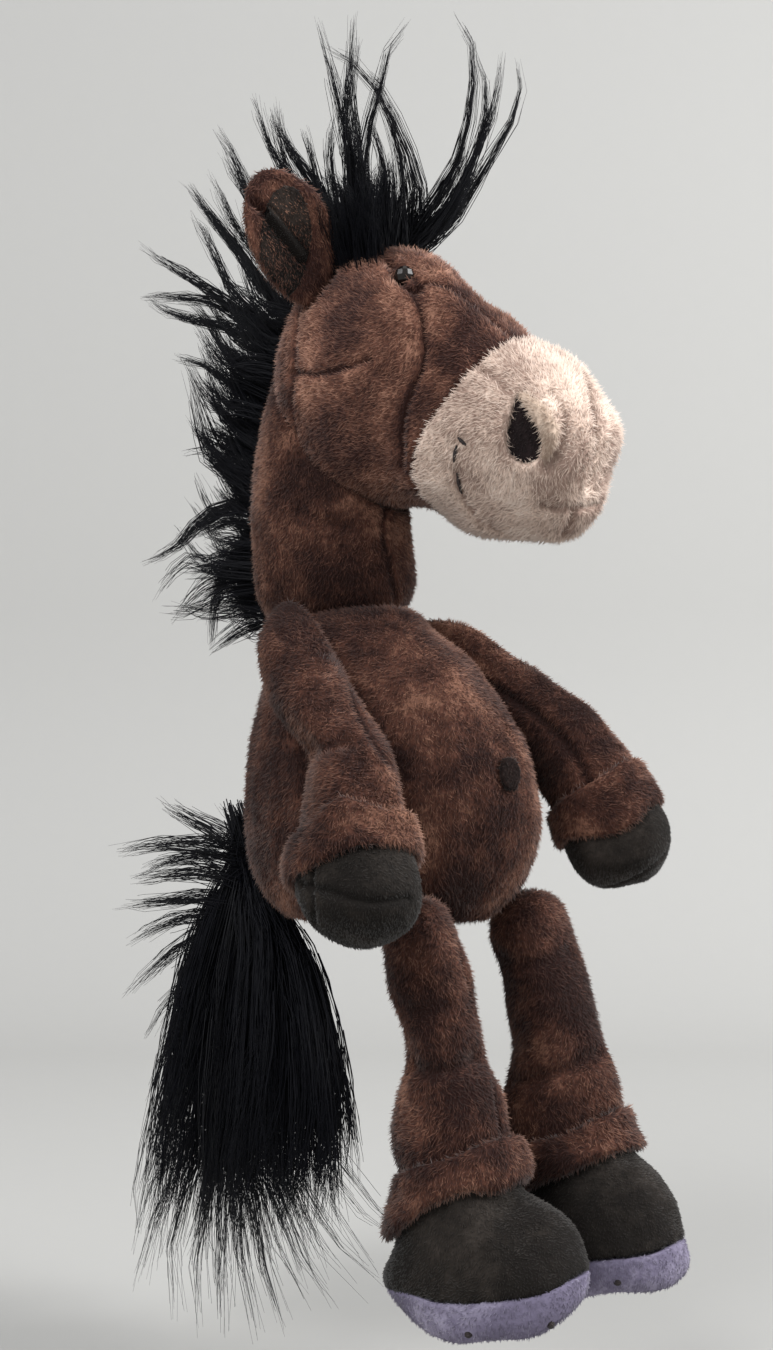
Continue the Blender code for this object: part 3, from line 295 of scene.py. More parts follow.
def merged_copy(name, nodes, plug=None):
    """A welded copy of some solids, with a plug between them where one is given."""
    shape = bmesh.new()
    for node in nodes:
        shape.from_mesh(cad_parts[node].data)
    bmesh.ops.remove_doubles(shape, verts=shape.verts, dist=WELD)
    if plug is not None:
        shape.from_mesh(plug)
    mesh = bpy.data.meshes.new(name)
    shape.to_mesh(mesh)
    shape.free()
    return placed(name, mesh)


def middle_of(piece):
    return sum((vertex.co for vertex in piece.data.vertices), Vector()) / len(piece.data.vertices)


def shade_smooth(mesh):
    mesh.polygons.foreach_set("use_smooth", [True] * len(mesh.polygons))


def give_finish(piece, material):
    piece.data.materials.clear()
    piece.data.materials.append(material)


def settle(piece):
    """Turn the piece's modifiers into plain mesh."""
    mesh = bpy.data.meshes.new_from_object(piece.evaluated_get(bpy.context.evaluated_depsgraph_get()))
    piece.modifiers.clear()
    piece.data = mesh
    mesh.name = piece.name
    return piece


def places_of(mesh):
    places = np.empty(len(mesh.vertices) * 3)
    mesh.vertices.foreach_get("co", places)
    return places.reshape(-1, 3)


def relax(mesh, rounds, steps=(0.5, -0.53)):
    """Smooth a mesh over some rounds, keeping its volume."""
    count = len(mesh.vertices)
    places = places_of(mesh)
    ends = np.empty(len(mesh.edges) * 2, dtype=np.int64)
    mesh.edges.foreach_get("vertices", ends)
    first, second = ends.reshape(-1, 2).T
    degree = np.bincount(ends, minlength=count)[:, None]
    for _ in range(rounds):
        for step in steps:
            sums = np.stack([np.bincount(first, places[second, axis], count)
                             + np.bincount(second, places[first, axis], count) for axis in range(3)], 1)
            places += step * (sums / degree - places)
    mesh.vertices.foreach_set("co", places.ravel())
    mesh.update()


def soft_copy(name, nodes, voxel, rounds, plug=None):
    piece = merged_copy(name, nodes, plug)
    modifier = piece.modifiers.new("squares", "REMESH")
    modifier.mode = "VOXEL"
    modifier.voxel_size = voxel
    settle(piece)
    relax(piece.data, rounds)
    shade_smooth(piece.data)
    return piece


def skin_of(*pieces):
    """A search tree over the surfaces of some pieces."""
    corners, faces = [], []
    for piece in pieces:
        start = len(corners)
        corners += [vertex.co.copy() for vertex in piece.data.vertices]
        faces += [[start + corner for corner in face.vertices] for face in piece.data.polygons]
    return BVHTree.FromPolygons(corners, faces)


FORMS = (
    # piece, its solids, body, plush, slot, voxel in m, smoothing rounds, fill
    ("torso_form", ("torso",), "torso", "brown", "brown_plush", 0.0018, 60, 0.75),
    ("head_form", ("head",), "head", "head_brown", "brown_plush", 0.0016, 50, 0.8),
    ("muzzle_form", ("muzzle",), "head", "taupe", "taupe_plush", 0.0015, 40, 0.8),
)
PAIRED_FORMS = (
    # the same for pieces of both sides: the side's name follows each word that ends in an underscore
    ("ear_form_", "ear_", "ear_", "head_brown", "brown_plush", 0.0011, 16, 0.3),
    ("lining_form_", "ear_lining_", "ear_", "lining", "charcoal_plush", 0.0008, 8, 0.2),
    ("nostril_form_", "nostril_", "head", "nostril", "charcoal_plush", 0.0007, 8, 0.4),
    ("flap_form_", "nostril_flap_", "head", "pale", "pale_plush", 0.0007, 10, 0.5),
    ("arm_form_", "arm_", "arm_", "brown", "brown_plush", 0.0016, 50, 0.75),
    ("arm_cuff_form_", "arm_cuff_", "arm_", "brown", "brown_plush", 0.0012, 24, 0.6),
    ("hand_form_", "hand_hoof_", "arm_", "charcoal", "charcoal_plush", 0.0014, 40, 0.85),
    ("leg_form_", "leg_", "leg_", "brown", "brown_plush", 0.0016, 50, 0.75),
    ("leg_cuff_form_", "leg_cuff_", "leg_", "brown", "brown_plush", 0.0012, 24, 0.6),
    ("foot_form_", "foot_hoof_", "leg_", "charcoal", "charcoal_plush", 0.0014, 40, 0.85),
    ("sole_form_", "sole_", "leg_", "lavender", "lavender_plush", 0.0012, 24, 0.85),
)


def of_side(word, side):
    return word + side if word.endswith("_") else word


FORMS += tuple((of_side(piece, side), (of_side(node, side),), of_side(body, side), *rest)
               for piece, node, body, *rest in PAIRED_FORMS for side in SIDES)
forms = {}
for name, nodes, body, plush, slot, voxel, rounds, fill in FORMS:
    forms[name] = soft_copy(name, nodes, voxel, rounds)
print(len(forms), "forms,", sum(len(piece.data.polygons) for piece in forms.values()), "faces")

# %% [markdown]
# The ear's lining is the same velour as the hoofs and covers nearly the whole front of the ear, less a
# narrow brown rim and the folded inner edge. It is taken from the ear's own front faces, so that it
# follows the cup of the ear, and gets a thin wall.

# %% The ears' linings
LINING_WALL = 0.0009
RIM_TURN = 0.50                   # how far a face may turn from the front and still be lined
OVAL = (0.60, 0.88)        # the lining's oval, of the ear's half width and half height
OVAL_SHIFT = (0.18, 0.12)  # how far it lies outwards and down


def line_ear(side):
    ear, lining = forms["ear_form_" + side], forms["lining_form_" + side]
    middle = middle_of(ear)
    front = (middle_of(lining) - middle).normalized()
    up = (Vector((0, 0, 1)) - front * front.z).normalized()
    inward = front.cross(up) * (-1 if side == "right" else 1)
    reach = max((vertex.co - middle).dot(inward) for vertex in ear.data.vertices)
    rise = max((vertex.co - middle).dot(up) for vertex in ear.data.vertices)

    def oval(place):
        across = (place.dot(inward) / reach + OVAL_SHIFT[0]) / OVAL[0]
        along = (place.dot(up) / rise + OVAL_SHIFT[1]) / OVAL[1]
        return across ** 2 + along ** 2

    shape = bmesh.new()
    shape.from_mesh(ear.data)
    shape.normal_update()
    away = [face for face in shape.faces if face.normal.dot(front) < RIM_TURN
            or oval(face.calc_center_median() - middle) > 1]
    bmesh.ops.delete(shape, geom=away, context="FACES")
    loose = [corner for corner in shape.verts if not corner.link_faces]
    bmesh.ops.delete(shape, geom=loose, context="VERTS")
    for _ in range(6):
        bmesh.ops.smooth_vert(shape, verts=[corner for corner in shape.verts if corner.is_boundary], factor=0.5,
                              use_axis_x=True, use_axis_y=True, use_axis_z=True)
    shape.to_mesh(lining.data)
    shape.free()
    wall = lining.modifiers.new("wall", "SOLIDIFY")
    wall.thickness = LINING_WALL
    wall.offset = 1.0
    settle(lining)
    print("lining", side, len(lining.data.polygons), "faces")


for side in SIDES:
    line_ear(side)

# %% [markdown]
# The neck is one tube of plush from the shoulders to the back of the head. The frame cuts it in two at
# the joint, so both halves are joined here by a short plug and remeshed together.

# %% The neck's skin
NECK_CUT = 0.1702                 # height of the cut between the two halves
NECK_PLUG = 0.004                 # the plug's height


def neck_plug():
    """A disc of the neck's own outline that fills the gap between its halves."""
    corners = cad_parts["neck"].data.vertices
    rim = np.array([vertex.co for vertex in corners if vertex.co.z > NECK_CUT - 0.002])
    middle = (rim.max(0) + rim.min(0)) / 2
    half = (rim.max(0) - rim.min(0)) / 2
    shape = bmesh.new()
    bmesh.ops.create_cone(shape, cap_ends=True, segments=48, radius1=0.97, radius2=0.97, depth=NECK_PLUG,
                          matrix=Matrix.Translation((middle[0], middle[1], NECK_CUT))
                          @ Matrix.Diagonal((half[0], half[1], 1, 1)))
    mesh = bpy.data.meshes.new("neck_plug")
    shape.to_mesh(mesh)
    shape.free()
    return mesh


forms["neck_form"] = soft_copy("neck_form", ("neck", "nape"), 0.0016, 50, neck_plug())
print("neck skin:", len(forms["neck_form"].data.polygons), "faces")

# %% [markdown]
# The solids are smooth lofts, and the sewn horse is a little flatter in places: over the muzzle's front,
# along the bridge and at the chest's top. A few points of the picture say where the outline moves, and
# the skin near them follows smoothly, so pieces that share a seam move together.

# %% Nudges towards the sewn shape
def seen_at(place):
    """Where the picture shows a place, and how large one of its points is there."""
    away = Vector(place) - CAMERA_PLACE
    scale = POINT_SIZE * away.dot(ahead)
    right, down = away.dot(aside) / scale, away.dot(upward) / scale
    return Vector((PICTURE[0] / 2 + right, PICTURE[1] / 2 - down)), scale


NUDGE_REACH = 24.0                # points of the picture
NUDGE_EASE = 0.06                 # how much the steps may give way to each other


def nudge(piece, moves):
    """Move the skin across the picture, by the steps given at its points and smoothly in between."""
    marks, steps = np.hsplit(np.array(moves, float), 2)

    def near(places):
        gaps = ((places[:, None, :] - marks[None, :, :]) ** 2).sum(axis=2)
        return np.exp(-gaps / (2 * NUDGE_REACH ** 2))

    weights = np.linalg.solve(near(marks) + np.eye(len(marks)) * NUDGE_EASE, steps)
    seen = [seen_at(vertex.co) for vertex in piece.data.vertices]
    push = near(np.array([tuple(spot) for spot, _ in seen])) @ weights
    for vertex, (_, scale), (right, down) in zip(piece.data.vertices, seen, push):
        vertex.co += (aside * float(right) - upward * float(down)) * scale
    piece.data.update()


MOVES = {
    # a point of the picture where the solids' outline lies, and its step to the sewn one;
    # points without a step hold the skin still
    "head": ((452, 262, -5, 4), (472, 274, -10, 9), (491, 288, -11, 13), (503, 299, -8, 12),
        (518, 313, -6, 8), (543, 334, -6, 9), (560, 343, -4, 8), (576, 354, -4, 5), (588, 368, -4, 4),
        (598, 379, -6, 4), (608, 394, -6, 3), (618, 416, -3, 1), (623, 436, -5, 0), (626, 455, -10, -3),
        (624, 477, -17, -5), (618, 494, -14, -4), (604, 516, -7, -3), (563, 535, 1, 3), (528, 538, 0, 2),
        (496, 533, -1, 5), (465, 523, -2, 5), (427, 514, 2, -9), (414, 515, 1, -11), (394, 512, 1, -9),
        (377, 505, 1, -4), (352, 486, -2, 6), (334, 470, -8, 10), (318, 454, -9, 6), (301, 438, -4, 2),
        (433, 480, -16, 5), (435, 464, -21, 0), (439, 450, -20, -8), (448, 427, -13, -10),
        (465, 396, -8, -7), (483, 369, -4, -4), (404, 277, 0, 0), (340, 300, 0, 0), (340, 380, 0, 0),
        (400, 360, 0, 0), (470, 320, 0, 0), (520, 425, 0, 0), (560, 430, 0, 0), (510, 390, 0, 0),
        (490, 470, 0, 0), (540, 480, 0, 0)),
    "neck": ((407, 541, 3, 0), (405, 566, 8, -1), (404, 578, 9, -1), (400, 600, 9, 0), (330, 540, 0, 0),
        (330, 600, 0, 0), (280, 560, 0, 0), (270, 620, 0, 0)),
    "torso": ((406, 600, 11, -3), (422, 605, 6, 1), (440, 612, -2, 9), (480, 634, -8, 11),
        (510, 668, -18, 8), (526, 715, -17, 4), (544, 766, -12, 1), (549, 802, -6, 2), (400, 640, 0, 0),
        (440, 700, 0, 0), (460, 770, 0, 0), (500, 850, 0, 0), (300, 700, 0, 0), (260, 800, 0, 0)),
    "arm_right": ((254, 679, 11, -2), (263, 724, 22, -2), (271, 757, 36, -2), (278, 789, 27, 0),
        (275, 825, 19, 5), (334, 656, 0, 0), (361, 702, 0, -4), (389, 761, 8, -4), (421, 811, -1, 5),
        (315, 800, 3, 13), (366, 791, 1, 14), (407, 800, 4, 14), (306, 935, 5, -13), (327, 950, 3, -11),
        (379, 947, 0, -1), (421, 907, -4, 0), (361, 853, 0, -3), (430, 680, 0, 0), (320, 720, 0, 0),
        (340, 790, 0, 0)),
    "arm_left": ((445, 640, -8, -7), (471, 642, -3, -13), (540, 679, 2, -13), (590, 720, 3, -15),
        (636, 767, -7, -13), (654, 770, -12, -10), (677, 809, -14, -13), (583, 871, -21, -26),
        (553, 827, -5, -15), (604, 903, -21, -23), (627, 911, -15, -23), (654, 903, -17, -20),
        (686, 875, -22, -16), (691, 853, -21, -18), (544, 738, 3, -12), (590, 793, -3, -11)),
    "leg_right": ((376, 962, 9, 0), (379, 1022, 21, 0), (386, 1063, 21, -2), (392, 1113, 2, 0),
        (392, 1159, 2, 0), (471, 921, -15, 5), (480, 958, -14, 0), (492, 1008, -14, 0),
        (499, 1058, -12, 0), (508, 1100, -4, -2), (384, 1177, 10, 0), (453, 1150, 0, 4),
        (526, 1131, -7, 5), (425, 1232, -5, -16), (471, 1216, -5, -21), (537, 1193, -6, -15),
        (402, 1244, -10, 1), (388, 1273, -5, 0), (562, 1223, 6, -11), (598, 1283, -8, -10),
        (594, 1319, -11, -19), (562, 1340, -7, -11), (494, 1348, -5, -6), (425, 1345, 1, -14),
        (398, 1337, 5, -21), (388, 1315, 3, -16), (430, 960, 0, 0), (425, 1060, 0, 0)),
    "leg_left": ((484, 930, 6, 0), (488, 976, 18, 0), (494, 1022, 19, 0), (498, 1058, 15, 0),
        (574, 926, -7, -8), (590, 999, 3, 0), (597, 1058, 11, 0), (610, 1104, 10, -2),
        (540, 1126, -5, 11), (585, 1118, 0, 11), (627, 1106, 5, 2), (542, 1192, 5, -12),
        (599, 1178, 5, -17), (636, 1164, 11, -16), (654, 1189, 6, -17), (681, 1216, -2, -6),
        (695, 1244, -11, -3), (698, 1264, -7, -5), (691, 1283, -8, -3), (654, 1296, 0, -3),
        (608, 1302, -1, -7), (545, 960, 0, 0), (560, 1060, 0, 0)),
}
SEWN_TOGETHER = {
    # pieces that share seams take the same steps
    "head": ("head_form", "muzzle_form"), "neck": ("neck_form",), "torso": ("torso_form",),
}
for side in SIDES:
    SEWN_TOGETHER["arm_" + side] = [kind + side for kind in ("arm_form_", "arm_cuff_form_", "hand_form_")]
    SEWN_TOGETHER["leg_" + side] = [kind + side for kind in ("leg_form_", "leg_cuff_form_", "foot_form_",
                                                             "sole_form_")]
for part, pieces in SEWN_TOGETHER.items():
    for name in pieces:
        nudge(forms[name], MOVES[part])
print("nudged:", sorted(SEWN_TOGETHER))

# %% [markdown]
# Seams and darts are narrow valleys in the stuffed skin, and the pile is shorter there. Each is given as
# a line of points in the picture, which rays bring onto the surface, and is mirrored to the side that the
# camera doesn't see. Vertices near the line sink, and remember in an attribute how near they are.
# The same attribute paints shade into the plush's colour along each valley, less for a broad fold.

# %% Seams, darts and creases
HEAD_PLACE = Matrix(((0.9568, -0.2079, -0.2034, 0), (0.2034, 0.9781, -0.0432, 0.005),
                     (0.2079, 0, 0.9781, 0.229), (0, 0, 0, 1)))
MIRROR = Matrix.Diagonal((-1, 1, 1, 1))
HEAD_MIRROR = HEAD_PLACE @ MIRROR @ HEAD_PLACE.inverted()


def smooth_line(points, steps=8):
    """A smooth line through the points, as many small steps."""
    points = [Vector(point) for point in points]
    padded = [points[0] * 2 - points[1]] + points + [points[-1] * 2 - points[-2]]
    line = []
    for before, start, end, after in zip(padded, padded[1:], padded[2:], padded[3:]):
        for step in range(steps):
            share = step / steps
            line.append(0.5 * (2 * start + (end - before) * share
                               + (2 * before - 5 * start + 4 * end - after) * share ** 2
                               + (3 * start - before - 3 * end + after) * share ** 3))
    return line + [points[-1]]


def drawn(skin, points):
    """The surface points that the camera sees along a line of the picture."""
    found = []
    for point in smooth_line(points):
        hit = skin.ray_cast(CAMERA_PLACE, sight(point).normalized())[0]
        if hit is not None:
            found.append(hit)
    return found


def mirrored(skin, line, mirror):
    return [skin.find_nearest(mirror @ point)[0] for point in line]


def press(piece, line, width, depth):
    """Sink a valley along a line and note how near each vertex is, which shortens the pile there and paints shade
    into the valley.
    """
    mesh = piece.data
    if "seam" not in mesh.attributes:
        mesh.attributes.new("seam", "FLOAT", "POINT")
    seam = mesh.attributes["seam"].data
    dense = [point for start, end in zip(line, line[1:]) if (end - start).length < 0.02
             for point in (start, start.lerp(end, 0.33), start.lerp(end, 0.66))]
    tree = KDTree(len(dense))
    for index, point in enumerate(dense):
        tree.insert(point, index)
    tree.balance()
    moves = []
    shade = min(1, (SEAM_WIDTH * 1.2 / width) ** 2)    # a broad fold gets less painted shade than a seam
    for vertex in mesh.vertices:
        away = tree.find(vertex.co)[2]
        if away < width * 2.5:
            sink = math.exp(-(away / width) ** 2)
            moves.append((vertex, vertex.normal * depth * sink))
            seam[vertex.index].value = max(seam[vertex.index].value, sink * shade)
    for vertex, move in moves:
        vertex.co -= move
    mesh.update()


SEAM_WIDTH = 0.0013
SEAM_DEPTH = 0.0022
LINES = (
    # piece, the line in the picture, width and depth as shares of a plain seam, mirror
    ("head_form", ((300, 300), (296, 330), (294, 372), (293, 410), (301, 445), (320, 478)), 1.2, 0.9, HEAD_MIRROR),
    ("head_form", ((294, 372), (318, 374), (345, 368), (370, 358)), 1.0, 0.9, HEAD_MIRROR),
    ("head_form", ((413, 290), (421, 312), (425, 335), (424, 365), (412, 392), (403, 425), (402, 470)),
     1.1, 1.1, HEAD_MIRROR),
    ("head_form", ((413, 290), (432, 283), (460, 296), (492, 322), (520, 345)), 1.0, 0.8, HEAD_MIRROR),
    # the eye's slit, two wide lines: a valley painted dark round the bead, as the shade of its socket
    ("head_form", ((389, 262), (398, 265), (407, 270), (415, 278), (421, 289)), 1.4, 1.0, HEAD_MIRROR),
    ("head_form", ((389, 265), (395, 275), (403, 284), (412, 290), (421, 292)), 1.4, 0.8, HEAD_MIRROR),
    ("muzzle_form", ((456, 470), (460, 490), (466, 504), (478, 519), (496, 530), (520, 538)), 1.2, 1.1, HEAD_MIRROR),
    ("muzzle_form", ((480, 368), (498, 380), (508, 392)), 1.3, 0.8, HEAD_MIRROR),
    ("muzzle_form", ((541, 505), (558, 509), (575, 508), (597, 505), (606, 500)), 1.1, 1.6, None),
    ("muzzle_form", ((574, 510), (571, 523), (562, 536)), 1.1, 1.4, None),
    ("muzzle_form", ((588, 385), (594, 410), (598, 437), (594, 462), (588, 488)), 1.7, 1.2, None),
    ("muzzle_form", ((545, 466), (556, 452), (566, 432), (563, 408), (552, 392)), 1.7, 0.8, HEAD_MIRROR),
    ("neck_form", ((384, 505), (383, 535), (388, 560), (396, 600)), 1.0, 0.7, None),
    ("neck_form", ((300, 512), (325, 522), (350, 526)), 2.4, 0.5, None),
    ("leg_form_right", ((452, 925), (468, 985), (482, 1040), (494, 1090), (502, 1140)), 1.1, 1.0, None),
    ("leg_form_right", ((400, 1062), (430, 1070), (462, 1064), (494, 1044)), 2.4, 1.3, None),
    ("leg_form_right", ((393, 1000), (420, 1010), (448, 1002)), 2.2, 0.7, None),
    ("leg_form_left", ((510, 1080), (540, 1078), (580, 1062), (615, 1042)), 2.4, 1.3, None),
    ("leg_form_left", ((500, 955), (530, 965), (570, 952)), 2.2, 0.7, None),
    ("hand_form_right", ((300, 884), (330, 892), (370, 902), (412, 898)), 1.0, 0.9, None),
    ("hand_form_right", ((316, 852), (311, 885), (314, 925)), 1.0, 0.9, None),
    ("hand_form_left", ((590, 888), (615, 886), (650, 868), (680, 840)), 1.0, 0.9, None),
    ("arm_form_right", ((296, 754), (318, 749), (345, 742)), 3.6, 1.3, None),
    ("arm_form_right", ((345, 660), (352, 700), (372, 742), (398, 776)), 1.1, 0.6, None),
    ("arm_form_left", ((459, 667), (500, 691), (540, 717), (572, 750), (590, 785), (606, 812)), 1.6, 1.3, None),
    ("torso_form", ((262, 662), (280, 700), (300, 745), (304, 800)), 2.0, 1.0, None),
    ("lining_form_right", ((254, 202), (272, 218), (291, 242), (303, 257)), 1.7, 1.8, None),
    ("ear_form_right", ((254, 202), (272, 218), (291, 242), (303, 257)), 1.7, 1.6, None),
)
for name, points, width, depth, mirror in LINES:
    skin = skin_of(forms[name])
    line = drawn(skin, points)
    if len(line) < 3:
        print("line not seen on", name)
        continue
    press(forms[name], line, SEAM_WIDTH * width, SEAM_DEPTH * depth)
    if mirror is not None:
        press(forms[name], mirrored(skin, line, mirror), SEAM_WIDTH * width, SEAM_DEPTH * depth)
print(len(LINES), "lines drawn")

# %% [markdown]
# No stuffed skin is even: wadding leaves shallow lumps and the fabric puckers a little beside its seams.
# Two sizes of smooth noise move each vertex along its normal by about a millimetre at most.

# %% Lumps and puckers
LUMPS = ((26.0, 0.0008), (75.0, 0.0004))    # a metre, and height in m


def lump(piece):
    mesh = piece.data
    moves = [vertex.normal * sum(noise.noise(vertex.co * scale) * height for scale, height in LUMPS)
             for vertex in mesh.vertices]
    for vertex, move in zip(mesh.vertices, moves):
        vertex.co += move
    mesh.update()


for name, piece in forms.items():
    if not name.startswith(("nostril", "flap", "lining")):
        lump(piece)
print("lumps made")

# %% [markdown]
# The pile is made by Geometry Nodes: points scattered over the form, a three-sided spike on each, laid
# over along the nap. The nap is an attribute of the form, combed in Python, so that it swirls. The spikes
# take most of their normals from the skin below, which shades them as one soft fabric.

# %% The pile's node tree
def named(maker, name, kind):
    return maker.node("GeometryNodeInputNamedAttribute", {"data_type": kind}, {"Name": name})


def new_tree(name, inputs):
    tree = bpy.data.node_groups.new(name, "GeometryNodeTree")
    tree.is_modifier = True
    for label, kind, value in inputs:
        socket = tree.interface.new_socket(label, in_out="INPUT", socket_type=kind)
        if value is not None:
            socket.default_value = value
    tree.interface.new_socket("Geometry", in_out="OUTPUT", socket_type="NodeSocketGeometry")
    maker = Maker(tree)
    group = tree.nodes.new("NodeGroupInput")
    return tree, maker, {label: Wire(maker, group.outputs[label]) for label, _, _ in inputs}


def store(maker, geometry, name, value, kind="FLOAT"):
    return maker.node("GeometryNodeStoreNamedAttribute", {"data_type": kind, "domain": "POINT"},
                      {"Geometry": geometry, "Name": name, "Value": value})


def make_pile_tree():
    tree, maker, given = new_tree("pile", (
        ("Geometry", "NodeSocketGeometry", None), ("Density", "NodeSocketFloat", 1500000.0),
        ("Length", "NodeSocketFloat", 0.003), ("Width", "NodeSocketFloat", 0.0003),
        ("Rise", "NodeSocketFloat", 0.5), ("Ruffle", "NodeSocketFloat", 0.35), ("Seed", "NodeSocketInt", 1),
        ("Material", "NodeSocketMaterial", None)))
    points = maker.node("GeometryNodeDistributePointsOnFaces", {}, {
        "Mesh": given["Geometry"], "Density": given["Density"], "Seed": given["Seed"]})
    normal = Wire(maker, points.socket.node.outputs["Normal"])
    spread = maker.node("FunctionNodeRandomValue", {"data_type": "FLOAT_VECTOR"}, {
        0: (-1, -1, -1), 1: (1, 1, 1), "Seed": given["Seed"]})
    size = maker.node("FunctionNodeRandomValue", {"data_type": "FLOAT"}, {
        2: 0.55, 3: 1.2, "Seed": given["Seed"]}, 1)
    lie = maker.vector("ADD", named(maker, "nap", "FLOAT_VECTOR"), maker.scaled(normal, given["Rise"]))
    lie = maker.vector("ADD", lie, maker.scaled(spread, given["Ruffle"]))
    turn = maker.node("FunctionNodeAlignRotationToVector", {"axis": "Z"}, {"Vector": lie})
    flat = 1 - named(maker, "seam", "FLOAT") * 0.6
    scale = maker.node("ShaderNodeCombineXYZ", {}, {
        "X": given["Width"], "Y": given["Width"], "Z": given["Length"] * size * flat})
    points = store(maker, points, "strand", size, "FLOAT")
    points = store(maker, points, "skin", normal, "FLOAT_VECTOR")
    spike = maker.node("GeometryNodeMeshCone", {"fill_type": "NONE"}, {
        "Vertices": 3, "Side Segments": 1, "Radius Top": 0.0, "Radius Bottom": 1.0, "Depth": 1.0})
    height = maker.node("ShaderNodeSeparateXYZ", {}, {0: maker.node("GeometryNodeInputPosition", {}, {})}, "Z")
    spike = store(maker, spike, "along", height)
    grown = maker.node("GeometryNodeInstanceOnPoints", {}, {
        "Points": points, "Instance": spike, "Rotation": turn, "Scale": scale})
    grown = maker.node("GeometryNodeRealizeInstances", {}, {"Geometry": grown})
    grown = maker.node("GeometryNodeSetMaterial", {}, {"Geometry": grown, "Material": given["Material"]})
    maker.node("NodeGroupOutput", {}, {"Geometry": grown})
    return tree


PILE_TREE = make_pile_tree()
print("pile tree:", len(PILE_TREE.nodes), "nodes")

# %% Comb the nap and grow the pile
SKIN_SHARE = 0.45                 # how much of a fibre's normal comes from the skin
NAP_SWIRLS = ((30, 1.1), (230, 1.1 * 0.7))    # a metre, and strength against the nap's flow


def comb(piece, flow):
    """Lay the nap along a flow, turned by smooth noise, and flat on the skin."""
    mesh = piece.data
    for name, kind in (("nap", "FLOAT_VECTOR"), ("seam", "FLOAT")):
        if name not in mesh.attributes:
            mesh.attributes.new(name, kind, "POINT")
    nap = mesh.attributes["nap"].data
    for vertex in mesh.vertices:
        way = flow.copy()
        for scale, strength in NAP_SWIRLS:
            way += noise.noise_vector(vertex.co * scale) * strength
        way -= vertex.normal * way.dot(vertex.normal)
        nap[vertex.index].vector = way.normalized()


def set_inputs(modifier, values):
    for item in modifier.node_group.interface.items_tree:
        if item.in_out == "INPUT" and item.name in values:
            modifier[item.identifier] = values[item.name]


def read_attribute(mesh, name, width):
    values = np.empty(len(mesh.vertices) * width)
    mesh.attributes[name].data.foreach_get("vector" if width == 3 else "value", values)
    return values.reshape(-1, width)


def grow_pile(piece, name, values):
    """Pile on a form, as a plain mesh of its own with soft normals."""
    pile = placed(name, piece.data)
    modifier = pile.modifiers.new("pile", "NODES")
    modifier.node_group = PILE_TREE
    set_inputs(modifier, values)
    settle(pile)
    mesh = pile.data
    skin = read_attribute(mesh, "skin", 3)
    own = np.empty(len(mesh.vertices) * 3)
    mesh.vertices.foreach_get("normal", own)
    normals = skin * SKIN_SHARE + own.reshape(-1, 3) * (1 - SKIN_SHARE)
    normals /= np.linalg.norm(normals, axis=1)[:, None]
    mesh.attributes.remove(mesh.attributes["skin"])
    shade_smooth(mesh)
    mesh.normals_split_custom_set_from_vertices(normals.tolist())
    return pile


DOWN = Vector((0, 0, -1))
BACKWARD = (HEAD_PLACE.to_3x3() @ Vector((0, 1, -0.35))).normalized()
PILES = {
    # plush: density a square metre, length and half width in m, rise, ruffle
    "brown": (1600000.0, 0.0027, 0.00024, 0.75, 0.62),
    "taupe": (1600000.0, 0.0034, 0.00025, 0.75, 0.60),
    "pale": (1900000.0, 0.0030, 0.00024, 0.80, 0.55),
    "charcoal": (1500000.0, 0.0012, 0.00024, 0.80, 0.50),
    "lining": (1700000.0, 0.0014, 0.00024, 0.70, 0.50),
    "lavender": (1500000.0, 0.0013, 0.00024, 0.80, 0.50),
    "nostril": (1700000.0, 0.0010, 0.00024, 0.80, 0.50),
    "navel": (2200000.0, 0.0014, 0.00022, 0.80, 0.50),
}
# the head's brown, painted lighter for its light, grows the same pile as the body's
PILES["head_brown"] = PILES["brown"]
DENSITY_SHARES = {"torso_form": 0.74, "sole_form_right": 0.5, "sole_form_left": 0.5}
PILE_THINNING = 0.80              # thins the pile everywhere; keeps the whole object near 2 million triangles
PILE_WIDENING = 1.12              # and widens its fibres, so the skin stays as well covered


def dress(name, body, plush, seed):
    """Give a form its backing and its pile."""
    piece = forms[name]
    flow = BACKWARD if body == "head" else DOWN
    comb(piece, flow)
    give_finish(piece, PLUSH[plush][0])
    density, length, width, rise, ruffle = PILES[plush]
    pile = grow_pile(piece, name.replace("form", "pile"), {
        "Density": density * PILE_THINNING * DENSITY_SHARES.get(name, 1.0),
        "Length": length, "Width": width * PILE_WIDENING, "Rise": rise, "Ruffle": ruffle, "Seed": seed,
        "Material": PLUSH[plush][1]})
    return pile


count = 0
for seed, (name, nodes, body, plush, slot, voxel, rounds, fill) in enumerate(FORMS):
    pile = dress(name, body, plush, seed)
    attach(forms[name], body)
    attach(pile, body)
    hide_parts(*nodes)
    count += len(pile.data.polygons)
print("pile:", count, "triangles")

# %% The neck's pile, baked in place with its skin
neck_pile = dress("neck_form", "torso", "brown", 90)
for piece in (forms["neck_form"], neck_pile):
    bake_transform(piece)
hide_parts("neck", "nape")
print("neck pile:", len(neck_pile.data.polygons), "triangles")

# %% [markdown]
# The mane, the forelock and the tail are long straight synthetic fur in locks: close together at the
# root, open along the way and pointed at the tip. A lock is drawn as one guide line, and a node tree
# makes its strands. Guides are mesh edges with two attributes: how far along a point is, and how far the
# strands may stand from it there.

